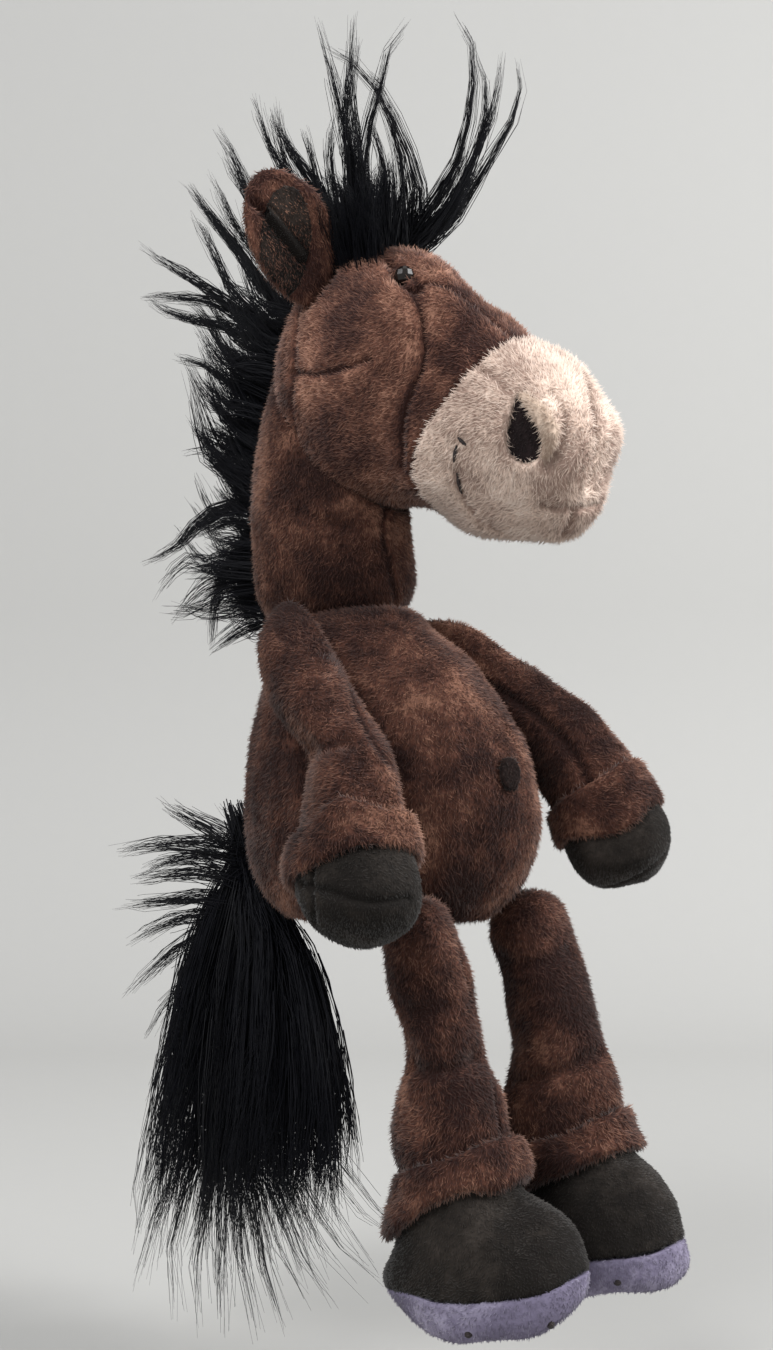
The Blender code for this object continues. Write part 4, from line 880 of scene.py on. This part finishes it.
# %% The hair's node tree
def make_hair_tree():
    tree, maker, given = new_tree("hair", (
        ("Geometry", "NodeSocketGeometry", None), ("Strands", "NodeSocketInt", 20),
        ("Thickness", "NodeSocketFloat", 0.0003), ("Waves", "NodeSocketFloat", 0.004),
        ("Seed", "NodeSocketInt", 1), ("Material", "NodeSocketMaterial", None)))
    lines = maker.node("GeometryNodeMeshToCurve", {}, {0: given["Geometry"]})
    lines = maker.node("GeometryNodeDuplicateElements", {"domain": "SPLINE"}, {
        "Geometry": lines, "Amount": given["Strands"]})
    own = maker.node("FunctionNodeRandomValue", {"data_type": "FLOAT_VECTOR"}, {
        0: (-1, -1, -1), 1: (1, 1, 1), "Seed": given["Seed"]})
    own = maker.node("GeometryNodeFieldOnDomain", {"domain": "CURVE", "data_type": "FLOAT_VECTOR"}, {0: own})
    along = named(maker, "along", "FLOAT")
    away = maker.scaled(own, named(maker, "spread", "FLOAT"))
    place = maker.node("GeometryNodeInputPosition", {}, {})
    swayed = maker.vector("MULTIPLY_ADD", place, (22, 22, 22))
    maker.tree.links.new(own.socket, swayed.socket.node.inputs[2])
    wave = maker.vector("SUBTRACT", maker.node("ShaderNodeTexNoise", {}, {
        "Vector": swayed, "Scale": 1.0, "Detail": 1.0}, 1), (0.5, 0.5, 0.5))
    wave = maker.scaled(wave, given["Waves"] * along * 2)
    lines = maker.node("GeometryNodeSetPosition", {}, {
        "Geometry": lines, "Offset": maker.vector("ADD", away, wave)})
    cut = maker.node("FunctionNodeRandomValue", {"data_type": "FLOAT"}, {
        2: 0.72, 3: 1.0, "Seed": given["Seed"]}, 1)
    lines = maker.node("GeometryNodeTrimCurve", {"mode": "FACTOR"}, {"Curve": lines, 2: 0.0, 3: cut})
    radius = given["Thickness"] * (1 - along ** 1.5 * 0.85)
    ring = maker.node("GeometryNodeCurvePrimitiveCircle", {}, {"Resolution": 3, "Radius": 1.0})
    hair = maker.node("GeometryNodeCurveToMesh", {}, {"Curve": lines, "Profile Curve": ring, "Scale": radius})
    hair = maker.node("GeometryNodeSetShadeSmooth", {}, {0: hair})
    hair = maker.node("GeometryNodeRealizeInstances", {}, {"Geometry": hair})
    hair = maker.node("GeometryNodeSetMaterial", {}, {"Geometry": hair, "Material": given["Material"]})
    maker.node("NodeGroupOutput", {}, {"Geometry": hair})
    return tree


HAIR_TREE = make_hair_tree()


def hair_material():
    material, maker, place = shader("black_hair")
    streak = maker.noise(maker.vector("MULTIPLY", place, (1, 1, 0.25)), 260.0, 2.0)
    colour = maker.mix(streak, (0.0010, 0.0012, 0.0026, 1), (0.0036, 0.0040, 0.0068, 1))
    finish(maker, {"Base Color": colour, "Roughness": 0.40 + streak * 0.16, "Specular IOR Level": 0.12})
    return material


HAIR = hair_material()
print("hair tree:", len(HAIR_TREE.nodes), "nodes")

# %% Guides and locks
GUIDE_POINTS = 8
LOCK_MIDDLE = 0.4                 # where a lock is as wide as its middle


def resample(line, count):
    lengths = [0.0]
    for start, end in zip(line, line[1:]):
        lengths.append(lengths[-1] + (end - start).length)
    points, step = [], 0
    for index in range(count):
        target = lengths[-1] * index / (count - 1)
        while step < len(line) - 2 and lengths[step + 1] < target:
            step += 1
        gap = max(lengths[step + 1] - lengths[step], 1e-9)
        points.append(line[step].lerp(line[step + 1], min(max((target - lengths[step]) / gap, 0), 1)))
    return points


def guide_piece(name, locks):
    """Guides as edges: each lock is a line, its spread at the root, the middle and the tip."""
    corners, edges, along, spread = [], [], [], []
    for line, root, middle, tip in locks:
        start = len(corners)
        points = resample(smooth_line(line), GUIDE_POINTS)
        corners += points
        edges += [(start + index, start + index + 1) for index in range(GUIDE_POINTS - 1)]
        for index in range(GUIDE_POINTS):
            share = index / (GUIDE_POINTS - 1)
            along.append(share)
            if share < LOCK_MIDDLE:
                spread.append(root + (middle - root) * share / LOCK_MIDDLE)
            else:
                spread.append(middle + (tip - middle) * (share - LOCK_MIDDLE) / (1 - LOCK_MIDDLE))
    mesh = bpy.data.meshes.new(name)
    mesh.from_pydata(corners, edges, [])
    for label, values in (("along", along), ("spread", spread)):
        mesh.attributes.new(label, "FLOAT", "POINT").data.foreach_set("value", values)
    return placed(name, mesh)


def grow_hair(name, locks, body, node, strands, thickness, waves, seed):
    piece = guide_piece(name, locks)
    modifier = piece.modifiers.new("hair", "NODES")
    modifier.node_group = HAIR_TREE
    set_inputs(modifier, {"Strands": strands, "Thickness": thickness, "Waves": waves, "Seed": seed,
                          "Material": HAIR})
    settle(piece)
    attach(piece, body)
    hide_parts(node)
    print(name, len(locks), "locks,", len(piece.data.polygons), "faces")
    return piece


def at_depth(point, depth):
    return CAMERA_PLACE + sight(point) * depth


def at_side(point, side):
    """Where the camera's sight of a point meets the upright plane at this x."""
    way = sight(point)
    return CAMERA_PLACE + way * ((side - CAMERA_PLACE.x) / way.x)


print("guides ready")

# %% [markdown]
# The forelock stands up from the crown between the ears. One wide lock sweeps to the horse's left and
# curls up, thin ones cross in the middle and a fan leans back over the near ear. Those that make the
# outline are drawn from the picture, and shorter ones fill the root from every side.

# %% The forelock
CROWN_DEPTH = 0.676               # how far ahead of the camera the crown is
FORELOCK_LINES = (
    # points of the picture, and how much further from the camera the tip is
    (((344, 232), (350, 157), (346, 118), (351, 52), (355, 4)), 0.000),
    (((352, 232), (352, 170), (342, 118), (329, 65), (318, 18)), 0.012),
    (((362, 235), (365, 157), (381, 84), (391, 45), (412, 22)), -0.010),
    (((356, 232), (360, 150), (352, 99), (360, 34)), 0.018),
    (((425, 238), (418, 183), (405, 146), (381, 94), (353, 62), (322, 44)), 0.010),
    (((412, 238), (402, 167), (391, 125), (374, 84)), -0.016),
    (((400, 236), (433, 203), (457, 162), (470, 110), (473, 52), (455, 8)), -0.012),
    (((404, 238), (440, 222), (467, 183), (483, 131), (487, 86), (474, 46)), -0.004),
    (((404, 240), (444, 228), (470, 193), (504, 136), (521, 99), (517, 55)), 0.008),
    (((406, 240), (436, 228), (467, 172), (493, 110), (504, 52)), -0.020),
    (((396, 240), (425, 236), (449, 218), (463, 186), (474, 150)), -0.008),
    (((402, 242), (428, 238), (452, 220), (470, 190), (480, 160)), 0.010),
    (((392, 238), (420, 222), (445, 196), (460, 160), (466, 130)), 0.016),
    (((329, 236), (321, 188), (297, 157), (276, 123), (271, 99)), 0.010),
    (((336, 236), (315, 190), (295, 160), (283, 128), (280, 104)), -0.008),
    (((340, 236), (322, 192), (312, 150), (302, 122)), 0.018),
    (((330, 240), (303, 196), (276, 160), (264, 128), (252, 90)), 0.016),
    (((326, 240), (300, 200), (284, 158), (272, 110)), 0.026),
    (((345, 236), (335, 190), (330, 150), (336, 112)), -0.014),
    (((372, 236), (360, 190), (345, 150), (348, 110)), 0.008),
    (((384, 238), (372, 196), (362, 160), (352, 128)), -0.010),
    (((378, 238), (385, 190), (380, 150), (366, 110)), 0.014),
)
FORELOCK_LOW = Vector((-0.030, -0.012, 0))    # the tuft's patch on the crown, in the head's own frame
FORELOCK_HIGH = Vector((0.024, 0.028, 0))
FORELOCK_FILLERS = 130
head_skin = skin_of(forms["head_form"], forms["neck_form"])


def rooted(point):
    """The nearest place on the head or the neck, a little below the surface."""
    place, normal, _, _ = head_skin.find_nearest(point)
    return place - normal * 0.001


def forelock_locks():
    rng = random.Random(4)
    locks = []
    for points, deeper in FORELOCK_LINES:
        line = [at_depth(point, CROWN_DEPTH + deeper * index / (len(points) - 1))
                for index, point in enumerate(points)]
        line[0] = rooted(line[0])
        locks.append((line, 0.0045, 0.0030, 0.0005))
        locks.append((line, 0.0050, 0.0014, 0.0003))
    for _ in range(FORELOCK_FILLERS):
        across = rng.uniform(FORELOCK_LOW.x, FORELOCK_HIGH.x)
        back = rng.uniform(FORELOCK_LOW.y, FORELOCK_HIGH.y)
        root = rooted(HEAD_PLACE @ Vector((across, back, 0.06)))
        lean = Vector((across * 14, (back - 0.004) * 16, rng.uniform(0.75, 1.3))).normalized()
        lean = HEAD_PLACE.to_3x3() @ lean
        length = rng.uniform(0.020, 0.042)
        bend = HEAD_PLACE.to_3x3() @ Vector((rng.uniform(-0.3, 0.5), rng.uniform(-0.3, 0.4), 0))
        line = [root, root + lean * length * 0.4, root + (lean + bend * 0.25) * length * 0.75,
                root + (lean + bend * 0.6) * length]
        locks.append((line, 0.0045, 0.0036, 0.0008))
    return locks


forelock = grow_hair("forelock_hair", forelock_locks(), "head", "forelock", 18, 0.00021, 0.006, 11)

# %% [markdown]
# The mane is a crest along the back of the neck, in the horse's middle plane. Its locks sweep back and
# upwards beside the head, and the last ones at the neck's foot hang down. The outline's locks are drawn
# in that plane from the picture and fan a little to both sides.

# %% The mane
MANE_UPPER_LINES = (
    ((272, 300), (256, 275), (242, 251), (219, 225), (198, 199), (181, 176)),
    ((274, 302), (258, 279), (240, 252), (222, 230), (203, 206), (190, 186)),
    ((268, 280), (242, 235), (227, 207), (208, 173)),
    ((270, 262), (253, 200), (239, 168), (229, 148), (214, 126)),
    ((266, 258), (247, 196), (232, 172), (221, 150)),
    ((270, 320), (256, 312), (231, 287), (216, 257), (200, 226), (188, 212)),
    ((276, 330), (250, 318), (225, 298), (191, 278), (161, 260), (138, 242)),
    ((276, 336), (248, 322), (222, 304), (191, 298), (161, 296), (138, 296)),
    ((272, 345), (245, 333), (216, 325), (176, 315), (154, 306), (146, 299)),
    ((268, 380), (234, 361), (216, 333), (197, 309), (180, 297)),
    ((270, 360), (240, 340), (214, 310), (200, 290)),
    ((266, 400), (232, 384), (207, 366), (190, 361), (172, 357)),
    ((264, 420), (236, 408), (214, 390), (196, 372)),
    ((262, 430), (238, 424), (214, 404), (199, 380)),
    ((262, 440), (240, 430), (220, 410), (204, 398)),
    ((262, 456), (240, 446), (222, 436), (200, 426)),
)
MANE_LOWER_LINES = (
    ((258, 500), (240, 486), (219, 456), (200, 437), (188, 418)),
    ((258, 490), (244, 476), (228, 452), (216, 436)),
    ((258, 520), (246, 507), (228, 505), (200, 523), (176, 548), (141, 566)),
    ((257, 526), (244, 512), (226, 512), (203, 526), (186, 541)),
    ((257, 540), (249, 530), (231, 521), (212, 529), (192, 538)),
    ((257, 552), (250, 545), (231, 560), (219, 587), (213, 624), (211, 650)),
    ((257, 556), (252, 552), (244, 576), (246, 604), (259, 636)),
    ((257, 550), (248, 544), (231, 546), (217, 560)),
    ((258, 558), (254, 560), (248, 588), (252, 612)),
)
MANE_CUT = 0.170                  # the two manes part at the neck's joint


def mane_locks(lines, low, high, count, seed, fall):
    """Drawn locks in the middle plane, and fillers from the crest between two heights."""
    rng = random.Random(seed)
    locks = []
    for points in lines:
        for fan in (-0.010, 0.0, 0.010):
            line = [at_side(point, fan * index / (len(points) - 1))
                    for index, point in enumerate(points)]
            line[0] = rooted(line[0])
            locks.append((line, 0.0032, 0.0028, 0.0005))
    for _ in range(count):
        height = rng.uniform(low, high)
        side = rng.gauss(0, 0.006)
        hit, normal, _, _ = head_skin.ray_cast(Vector((side, 0.3, height)), Vector((0, -1, 0)))
        if hit is None:
            continue
        lean = Vector((side * 40 + rng.uniform(-0.25, 0.25), 1.0, rng.uniform(0.1, 1.1) - fall))
        lean.normalize()
        length = rng.uniform(0.020, 0.048)
        line = [hit - normal * 0.001, hit + lean * length * 0.4,
                hit + (lean + Vector((0, 0, rng.uniform(-0.1, 0.4) - fall * 0.5))) * length * 0.72,
                hit + (lean + Vector((0, 0.1, rng.uniform(0.0, 0.8) - fall))) * length]
        locks.append((line, 0.0042, 0.0042, 0.0010))
    return locks


mane_upper = grow_hair("mane_upper_hair", mane_locks(MANE_UPPER_LINES, MANE_CUT + 0.002, 0.285, 240, 5, 0.0),
                       "head", "mane_upper", 17, 0.00024, 0.006, 12)
mane_lower = grow_hair("mane_lower_hair", mane_locks(MANE_LOWER_LINES, 0.128, MANE_CUT - 0.004, 90, 6, 0.4),
                       "torso", "mane_lower", 17, 0.00024, 0.006, 13)

# %% [markdown]
# The tail is one thick plume. Its locks leave a short stump behind the seat, arch outwards and fall under
# their own weight, the outer ones shorter, with tips that flick away.

# %% The tail
TAIL_ROOT = Vector((0, 0.0755, 0.020))
TAIL_MIDDLE = Vector((0.000, 0.102, 0))
TAIL_LEFT = ((243, 849), (224, 880), (206, 915), (184, 985), (168, 1080), (154, 1182), (145, 1262))
TAIL_RIGHT = ((256, 880), (280, 918), (312, 965), (334, 1030), (344, 1100), (350, 1180), (350, 1240))
TAIL_FILLERS = 300
TAIL_HALF = 0.040                 # half the plume's width from side to side
TAIL_LINES = (
    ((243, 849), (210, 829), (181, 815), (158, 800)),
    ((243, 853), (199, 845), (155, 845), (116, 853)),
    ((246, 867), (206, 858), (163, 862), (138, 874)),
    ((250, 889), (210, 873), (170, 875), (132, 881)),
    ((254, 904), (210, 896), (170, 900), (130, 904), (112, 907)),
    ((250, 918), (206, 915), (170, 922), (134, 940), (124, 947)),
    ((246, 936), (199, 936), (163, 958), (137, 984), (121, 999)),
    ((235, 962), (199, 973), (170, 998), (152, 1024), (144, 1041)),
    ((228, 998), (192, 1013), (166, 1045), (152, 1082), (148, 1100)),
    ((217, 1053), (184, 1082), (166, 1125), (150, 1165)),
    ((210, 1107), (181, 1144), (152, 1187), (134, 1216), (132, 1238)),
    ((199, 1130), (170, 1190), (146, 1249), (137, 1289)),
    ((200, 1150), (178, 1210), (170, 1260), (175, 1322)),
    ((215, 1160), (200, 1230), (196, 1290), (200, 1335)),
    ((225, 1160), (218, 1230), (219, 1289), (221, 1346)),
    ((235, 1160), (236, 1230), (246, 1289), (256, 1340)),
    ((245, 1160), (256, 1230), (268, 1289), (284, 1334)),
    ((255, 1130), (276, 1200), (294, 1255), (306, 1288)),
    ((262, 1110), (288, 1190), (308, 1250), (320, 1290)),
)
TAIL_SIDES = (-0.034, -0.018, -0.004)


def on_line(points, along):
    """The place on a line of picture points at a share of its steps."""
    place = min(max(along, 0), 1) * (len(points) - 1)
    step = min(int(place), len(points) - 2)
    return Vector(points[step]).lerp(Vector(points[step + 1]), place - step)


def tail_line(points, side):
    """A drawn lock: it leaves the tail's middle line and comes to this side's upright plane."""
    line = [at_side(point, side * (0.35 + 0.65 * index / (len(points) - 1)))
            for index, point in enumerate(points)]
    stem = line[0].lerp(Vector((0, TAIL_MIDDLE.y, line[0].z + 0.030)), 0.6)
    return [TAIL_ROOT + Vector((side * 0.2, 0.004, 0))] * (line[0].z < 0.005) + [stem] + line


def tail_locks():
    rng = random.Random(8)
    locks = []
    for points in TAIL_LINES:
        for side in TAIL_SIDES:
            line = tail_line(points, side)
            locks.append((line, 0.0045, 0.0048, 0.0007))
            locks.append(([Vector((-point.x, point.y, point.z)) for point in line], 0.0045, 0.0048, 0.0007))
    for index in range(TAIL_FILLERS):
        share, side = rng.random(), rng.uniform(-TAIL_HALF, TAIL_HALF)
        side *= math.sqrt(1 - 0.75 * (2 * share - 1) ** 2)
        start = rng.uniform(0.0, 0.55)
        stop = start + (1.04 - start) * rng.uniform(0.36, 1.0)
        sweep = rng.uniform(-0.16, 0.05)
        line = []
        for step in range(6):
            along = start + (stop - start) * step / 5
            left, right = on_line(TAIL_LEFT, along), on_line(TAIL_RIGHT, along)
            spot = left.lerp(right, share + sweep * (step / 5) ** 1.5)
            place = at_side((spot.x, spot.y), side * (0.30 + 0.70 * min(1, along * 1.6)))
            line.append(place + noise.noise_vector(place * 26 + Vector((index, 0, 0))) * 0.007 * step / 5)
        if start < 0.12:
            line.insert(0, TAIL_ROOT + Vector((side * 0.2, 0.004, 0)))
        locks.append((line, 0.0045, 0.0050, 0.0007))
    return locks


tail = grow_hair("tail_hair", tail_locks(), "tail", "tail", 12, 0.00028, 0.008, 14)

# %% [markdown]
# The small hard and sewn parts follow the picture: the beads are copies of their solids, set where it
# shows the near eye, and the stitches are dark twisted thread drawn on the skin. Only the plain woven
# tab at the side keeps its solid and just gets its finish.

# %% Eyes, thread and tab
def eye_material():
    material, maker, place = shader("eye_bead")
    dust = maker.noise(place, 900.0, 2.0)
    finish(maker, {"Base Color": maker.mix(dust, (0.004, 0.003, 0.003, 1), (0.010, 0.007, 0.006, 1)),
                   "Roughness": 0.05 + dust * 0.05, "Specular IOR Level": 0.35})
    return material


def thread_material():
    material, maker, place = shader("dark_thread")
    twist = maker.node("ShaderNodeTexWave", {"bands_direction": "DIAGONAL"}, {
        "Vector": place, "Scale": 700.0, "Distortion": 1.0}, 1)
    bump = maker.bump(twist, 0.8, 0.0003)
    finish(maker, {"Base Color": maker.mix(twist, (0.007, 0.0040, 0.0042, 1), (0.021, 0.012, 0.0115, 1)),
                   "Roughness": 0.6 + twist * 0.15, "Normal": bump})
    return material


def tab_material():
    material, maker, place = shader("woven_tab")
    weave = maker.node("ShaderNodeTexChecker", {}, {"Vector": place, "Scale": 2400.0}, 1)
    bump = maker.bump(weave, 0.3, 0.0002)
    finish(maker, {"Base Color": maker.mix(weave * 0.4, (0.62, 0.60, 0.57, 1), (0.50, 0.48, 0.46, 1)),
                   "Roughness": 0.7 + weave * 0.1, "Normal": bump})
    return material


BEAD, THREAD, TAB = eye_material(), thread_material(), tab_material()
MOUTH_STITCHES = (((459, 437), (463, 441), (467, 445)), ((458, 445), (456, 453), (455, 461)),
                  ((456, 472), (458, 482), (461, 492)))
STITCH_RADIUS = 0.00075
NAVEL_SHARE = 0.84                # of the CAD patch's size
NAVEL_DROP = 0.0025               # how far the patch lies below its solid, in m


def thread_piece(name, lines, radius=STITCH_RADIUS):
    """Thick thread along lines, as tapered tubes in one mesh."""
    curve = bpy.data.curves.new(name, "CURVE")
    curve.dimensions = "3D"
    curve.bevel_depth = radius
    curve.bevel_resolution = 2
    curve.use_fill_caps = True
    for line in lines:
        points = resample(line, 7)
        spline = curve.splines.new("POLY")
        spline.points.add(len(points) - 1)
        for index, point in enumerate(points):
            spline.points[index].co = (*point, 1)
            spline.points[index].radius = 0.45 + 0.55 * math.sin(math.pi * index / (len(points) - 1))
    holder = placed(name, curve)
    mesh = bpy.data.meshes.new_from_object(holder.evaluated_get(bpy.context.evaluated_depsgraph_get()))
    bpy.data.objects.remove(holder)
    piece = placed(name, mesh)
    give_finish(piece, THREAD)
    return piece


def mouth_corners():
    skin = skin_of(forms["muzzle_form"])
    raised = []
    for points in MOUTH_STITCHES:
        line = drawn(skin, points)
        for side, places in (("right", line), ("left", mirrored(skin, line, HEAD_MIRROR))):
            lifted = []
            for place in places:
                spot, normal, _, _ = skin.find_nearest(place)
                lifted.append(spot + normal * 0.0012)
            raised.append((side, lifted))
    for side in SIDES:
        piece = thread_piece("mouth_thread_" + side, [line for which, line in raised if which == side])
        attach(piece, "head")
        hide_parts("mouth_stitch_" + side)


def navel_patch():
    forms["navel_form"] = soft_copy("navel_form", ("navel_stitch",), 0.0007, 20)
    middle = middle_of(forms["navel_form"])
    for vertex in forms["navel_form"].data.vertices:
        vertex.co = middle.lerp(vertex.co, NAVEL_SHARE) - Vector((0, 0, NAVEL_DROP))
    pile = dress("navel_form", "torso", "navel", 91)
    for piece in (forms["navel_form"], pile):
        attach(piece, "torso")
    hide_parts("navel_stitch")


EYE_SPOT = (405, 277)             # where the picture shows the near bead
EYE_RISE = 0.0003                 # how far the bead's middle stands from the skin
EYE_SHARE = 1.25                  # of the CAD bead's size


def eye_beads():
    """The beads, set in their slits where the picture shows the near one."""
    skin = skin_of(forms["head_form"])
    near = drawn(skin, (EYE_SPOT, (EYE_SPOT[0] + 2, EYE_SPOT[1])))[0]
    for side, spot in (("right", near), ("left", mirrored(skin, [near], HEAD_MIRROR)[0])):
        bead = merged_copy("eye_bead_" + side, ("eye_" + side,))
        place, normal, _, _ = skin.find_nearest(spot)
        middle = middle_of(bead)
        for vertex in bead.data.vertices:
            vertex.co = place + normal * EYE_RISE + (vertex.co - middle) * EYE_SHARE
        give_finish(bead, BEAD)
        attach(bead, "head")
        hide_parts("eye_" + side)


eye_beads()
SOLE_DOTS = (("right", (468, 1332), (550, 1322)), ("left", (617, 1280), None))
DOT_RADIUS = 0.0015


def sole_dots():
    """Two short stitches on each sole, drawn where the picture shows them."""
    for side, *points in SOLE_DOTS:
        skin = skin_of(forms["sole_form_" + side])
        nodes = ["sole_stitch_%s_%d" % (side, number) for number in (1, 2)]
        lines = []
        for point in points:
            found = drawn(skin, (point, (point[0] + 1, point[1] + 5))) if point else []
            if len(found) < 2:
                low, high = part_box(nodes[1])
                middle = (Vector(low) + Vector(high)) / 2
                found = [skin.find_nearest(middle + Vector((0, 0, lift)))[0] for lift in (-0.001, 0.001)]
            lines.append([found[0], found[-1]])
        piece = thread_piece("sole_thread_" + side, lines, DOT_RADIUS)
        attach(piece, "leg_" + side)
        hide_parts(*nodes)


mouth_corners()
navel_patch()
sole_dots()
give_finish(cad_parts["side_label"], TAB)
print("beads, threads, navel patch and tab finished")

# %% [markdown]
# The studio is a pale floor that curves up into a backdrop, with two large soft lamps: the key on the side
# of the horse's back, and the fill in front of it. The even sky lightens the shadows, and the camera sees
# it in the wall's own pale colour.

# %% Floor and light
FLOOR_HEIGHT = solid_box[0][2] - 0.001
WALL_COLOUR = (0.405, 0.401, 0.388)
SKY_COLOUR = (0.66, 0.652, 0.628)
SKY_STRENGTH = 0.76
LAMP_AIM = Vector((0, 0, 0.09))   # the chest, which both lamps face


def floor_piece():
    profile = [(-1.6, 0.0), (0.9, 0.0)]
    profile += [(0.9 + 0.5 * math.sin(angle), 0.5 - 0.5 * math.cos(angle))
                for angle in (math.radians(step * 10) for step in range(1, 10))]
    profile += [(1.4, 2.4)]
    corners, faces = [], []
    for away, height in profile:
        for side in (-2.2, 2.2):
            flat = CAMERA_AHEAD * away + Vector((aside.x, aside.y, 0)).normalized() * side
            corners.append((flat.x, flat.y, FLOOR_HEIGHT + height))
    for index in range(len(profile) - 1):
        faces.append((2 * index, 2 * index + 1, 2 * index + 3, 2 * index + 2))
    mesh = bpy.data.meshes.new("studio_floor")
    mesh.from_pydata(corners, [], faces)
    shade_smooth(mesh)
    piece = placed("studio_floor", mesh)
    material, maker, place = shader("pale_floor")
    grain = maker.noise(place, 60.0, 4.0)
    darker = [part * 0.985 for part in WALL_COLOUR]
    finish(maker, {"Base Color": maker.mix(grain, (*darker, 1), (*WALL_COLOUR, 1)),
                   "Roughness": 0.9 - grain * 0.05})
    mesh.materials.append(material)


def lamp(name, place, size, power):
    light = bpy.data.lights.new(name, "AREA")
    light.shape = "DISK"
    light.size = size
    light.energy = power
    piece = placed(name, light)
    piece.location = place
    piece.rotation_euler = (LAMP_AIM - place).to_track_quat("-Z", "Y").to_euler()


floor_piece()
lamp("key", Vector((-1.80, -0.10, 1.65)), 1.5, 42.0)
lamp("fill", Vector((0.95, -1.70, 1.20)), 1.8, 70.0)
world = bpy.data.worlds.new("even_sky")
scene.world = world
world.use_nodes = True
world.node_tree.nodes.clear()
sky = Maker(world.node_tree)
path = sky.tree.nodes.new("ShaderNodeLightPath")
seen = Wire(sky, path.outputs["Is Camera Ray"]) + Wire(sky, path.outputs["Is Glossy Ray"]) \
    + Wire(sky, path.outputs["Is Transmission Ray"])
light = sky.node("ShaderNodeBackground", {}, {"Color": (0.95, 0.97, 1.0, 1), "Strength": SKY_STRENGTH})
shown = sky.node("ShaderNodeBackground", {}, {"Color": (*SKY_COLOUR, 1), "Strength": 1.0})
both = sky.node("ShaderNodeMixShader", {}, {0: seen, 1: light, 2: shown})
sky.node("ShaderNodeOutputWorld", {}, {"Surface": both})
scene.view_settings.view_transform = "Standard"
print("floor at", round(FLOOR_HEIGHT, 4))
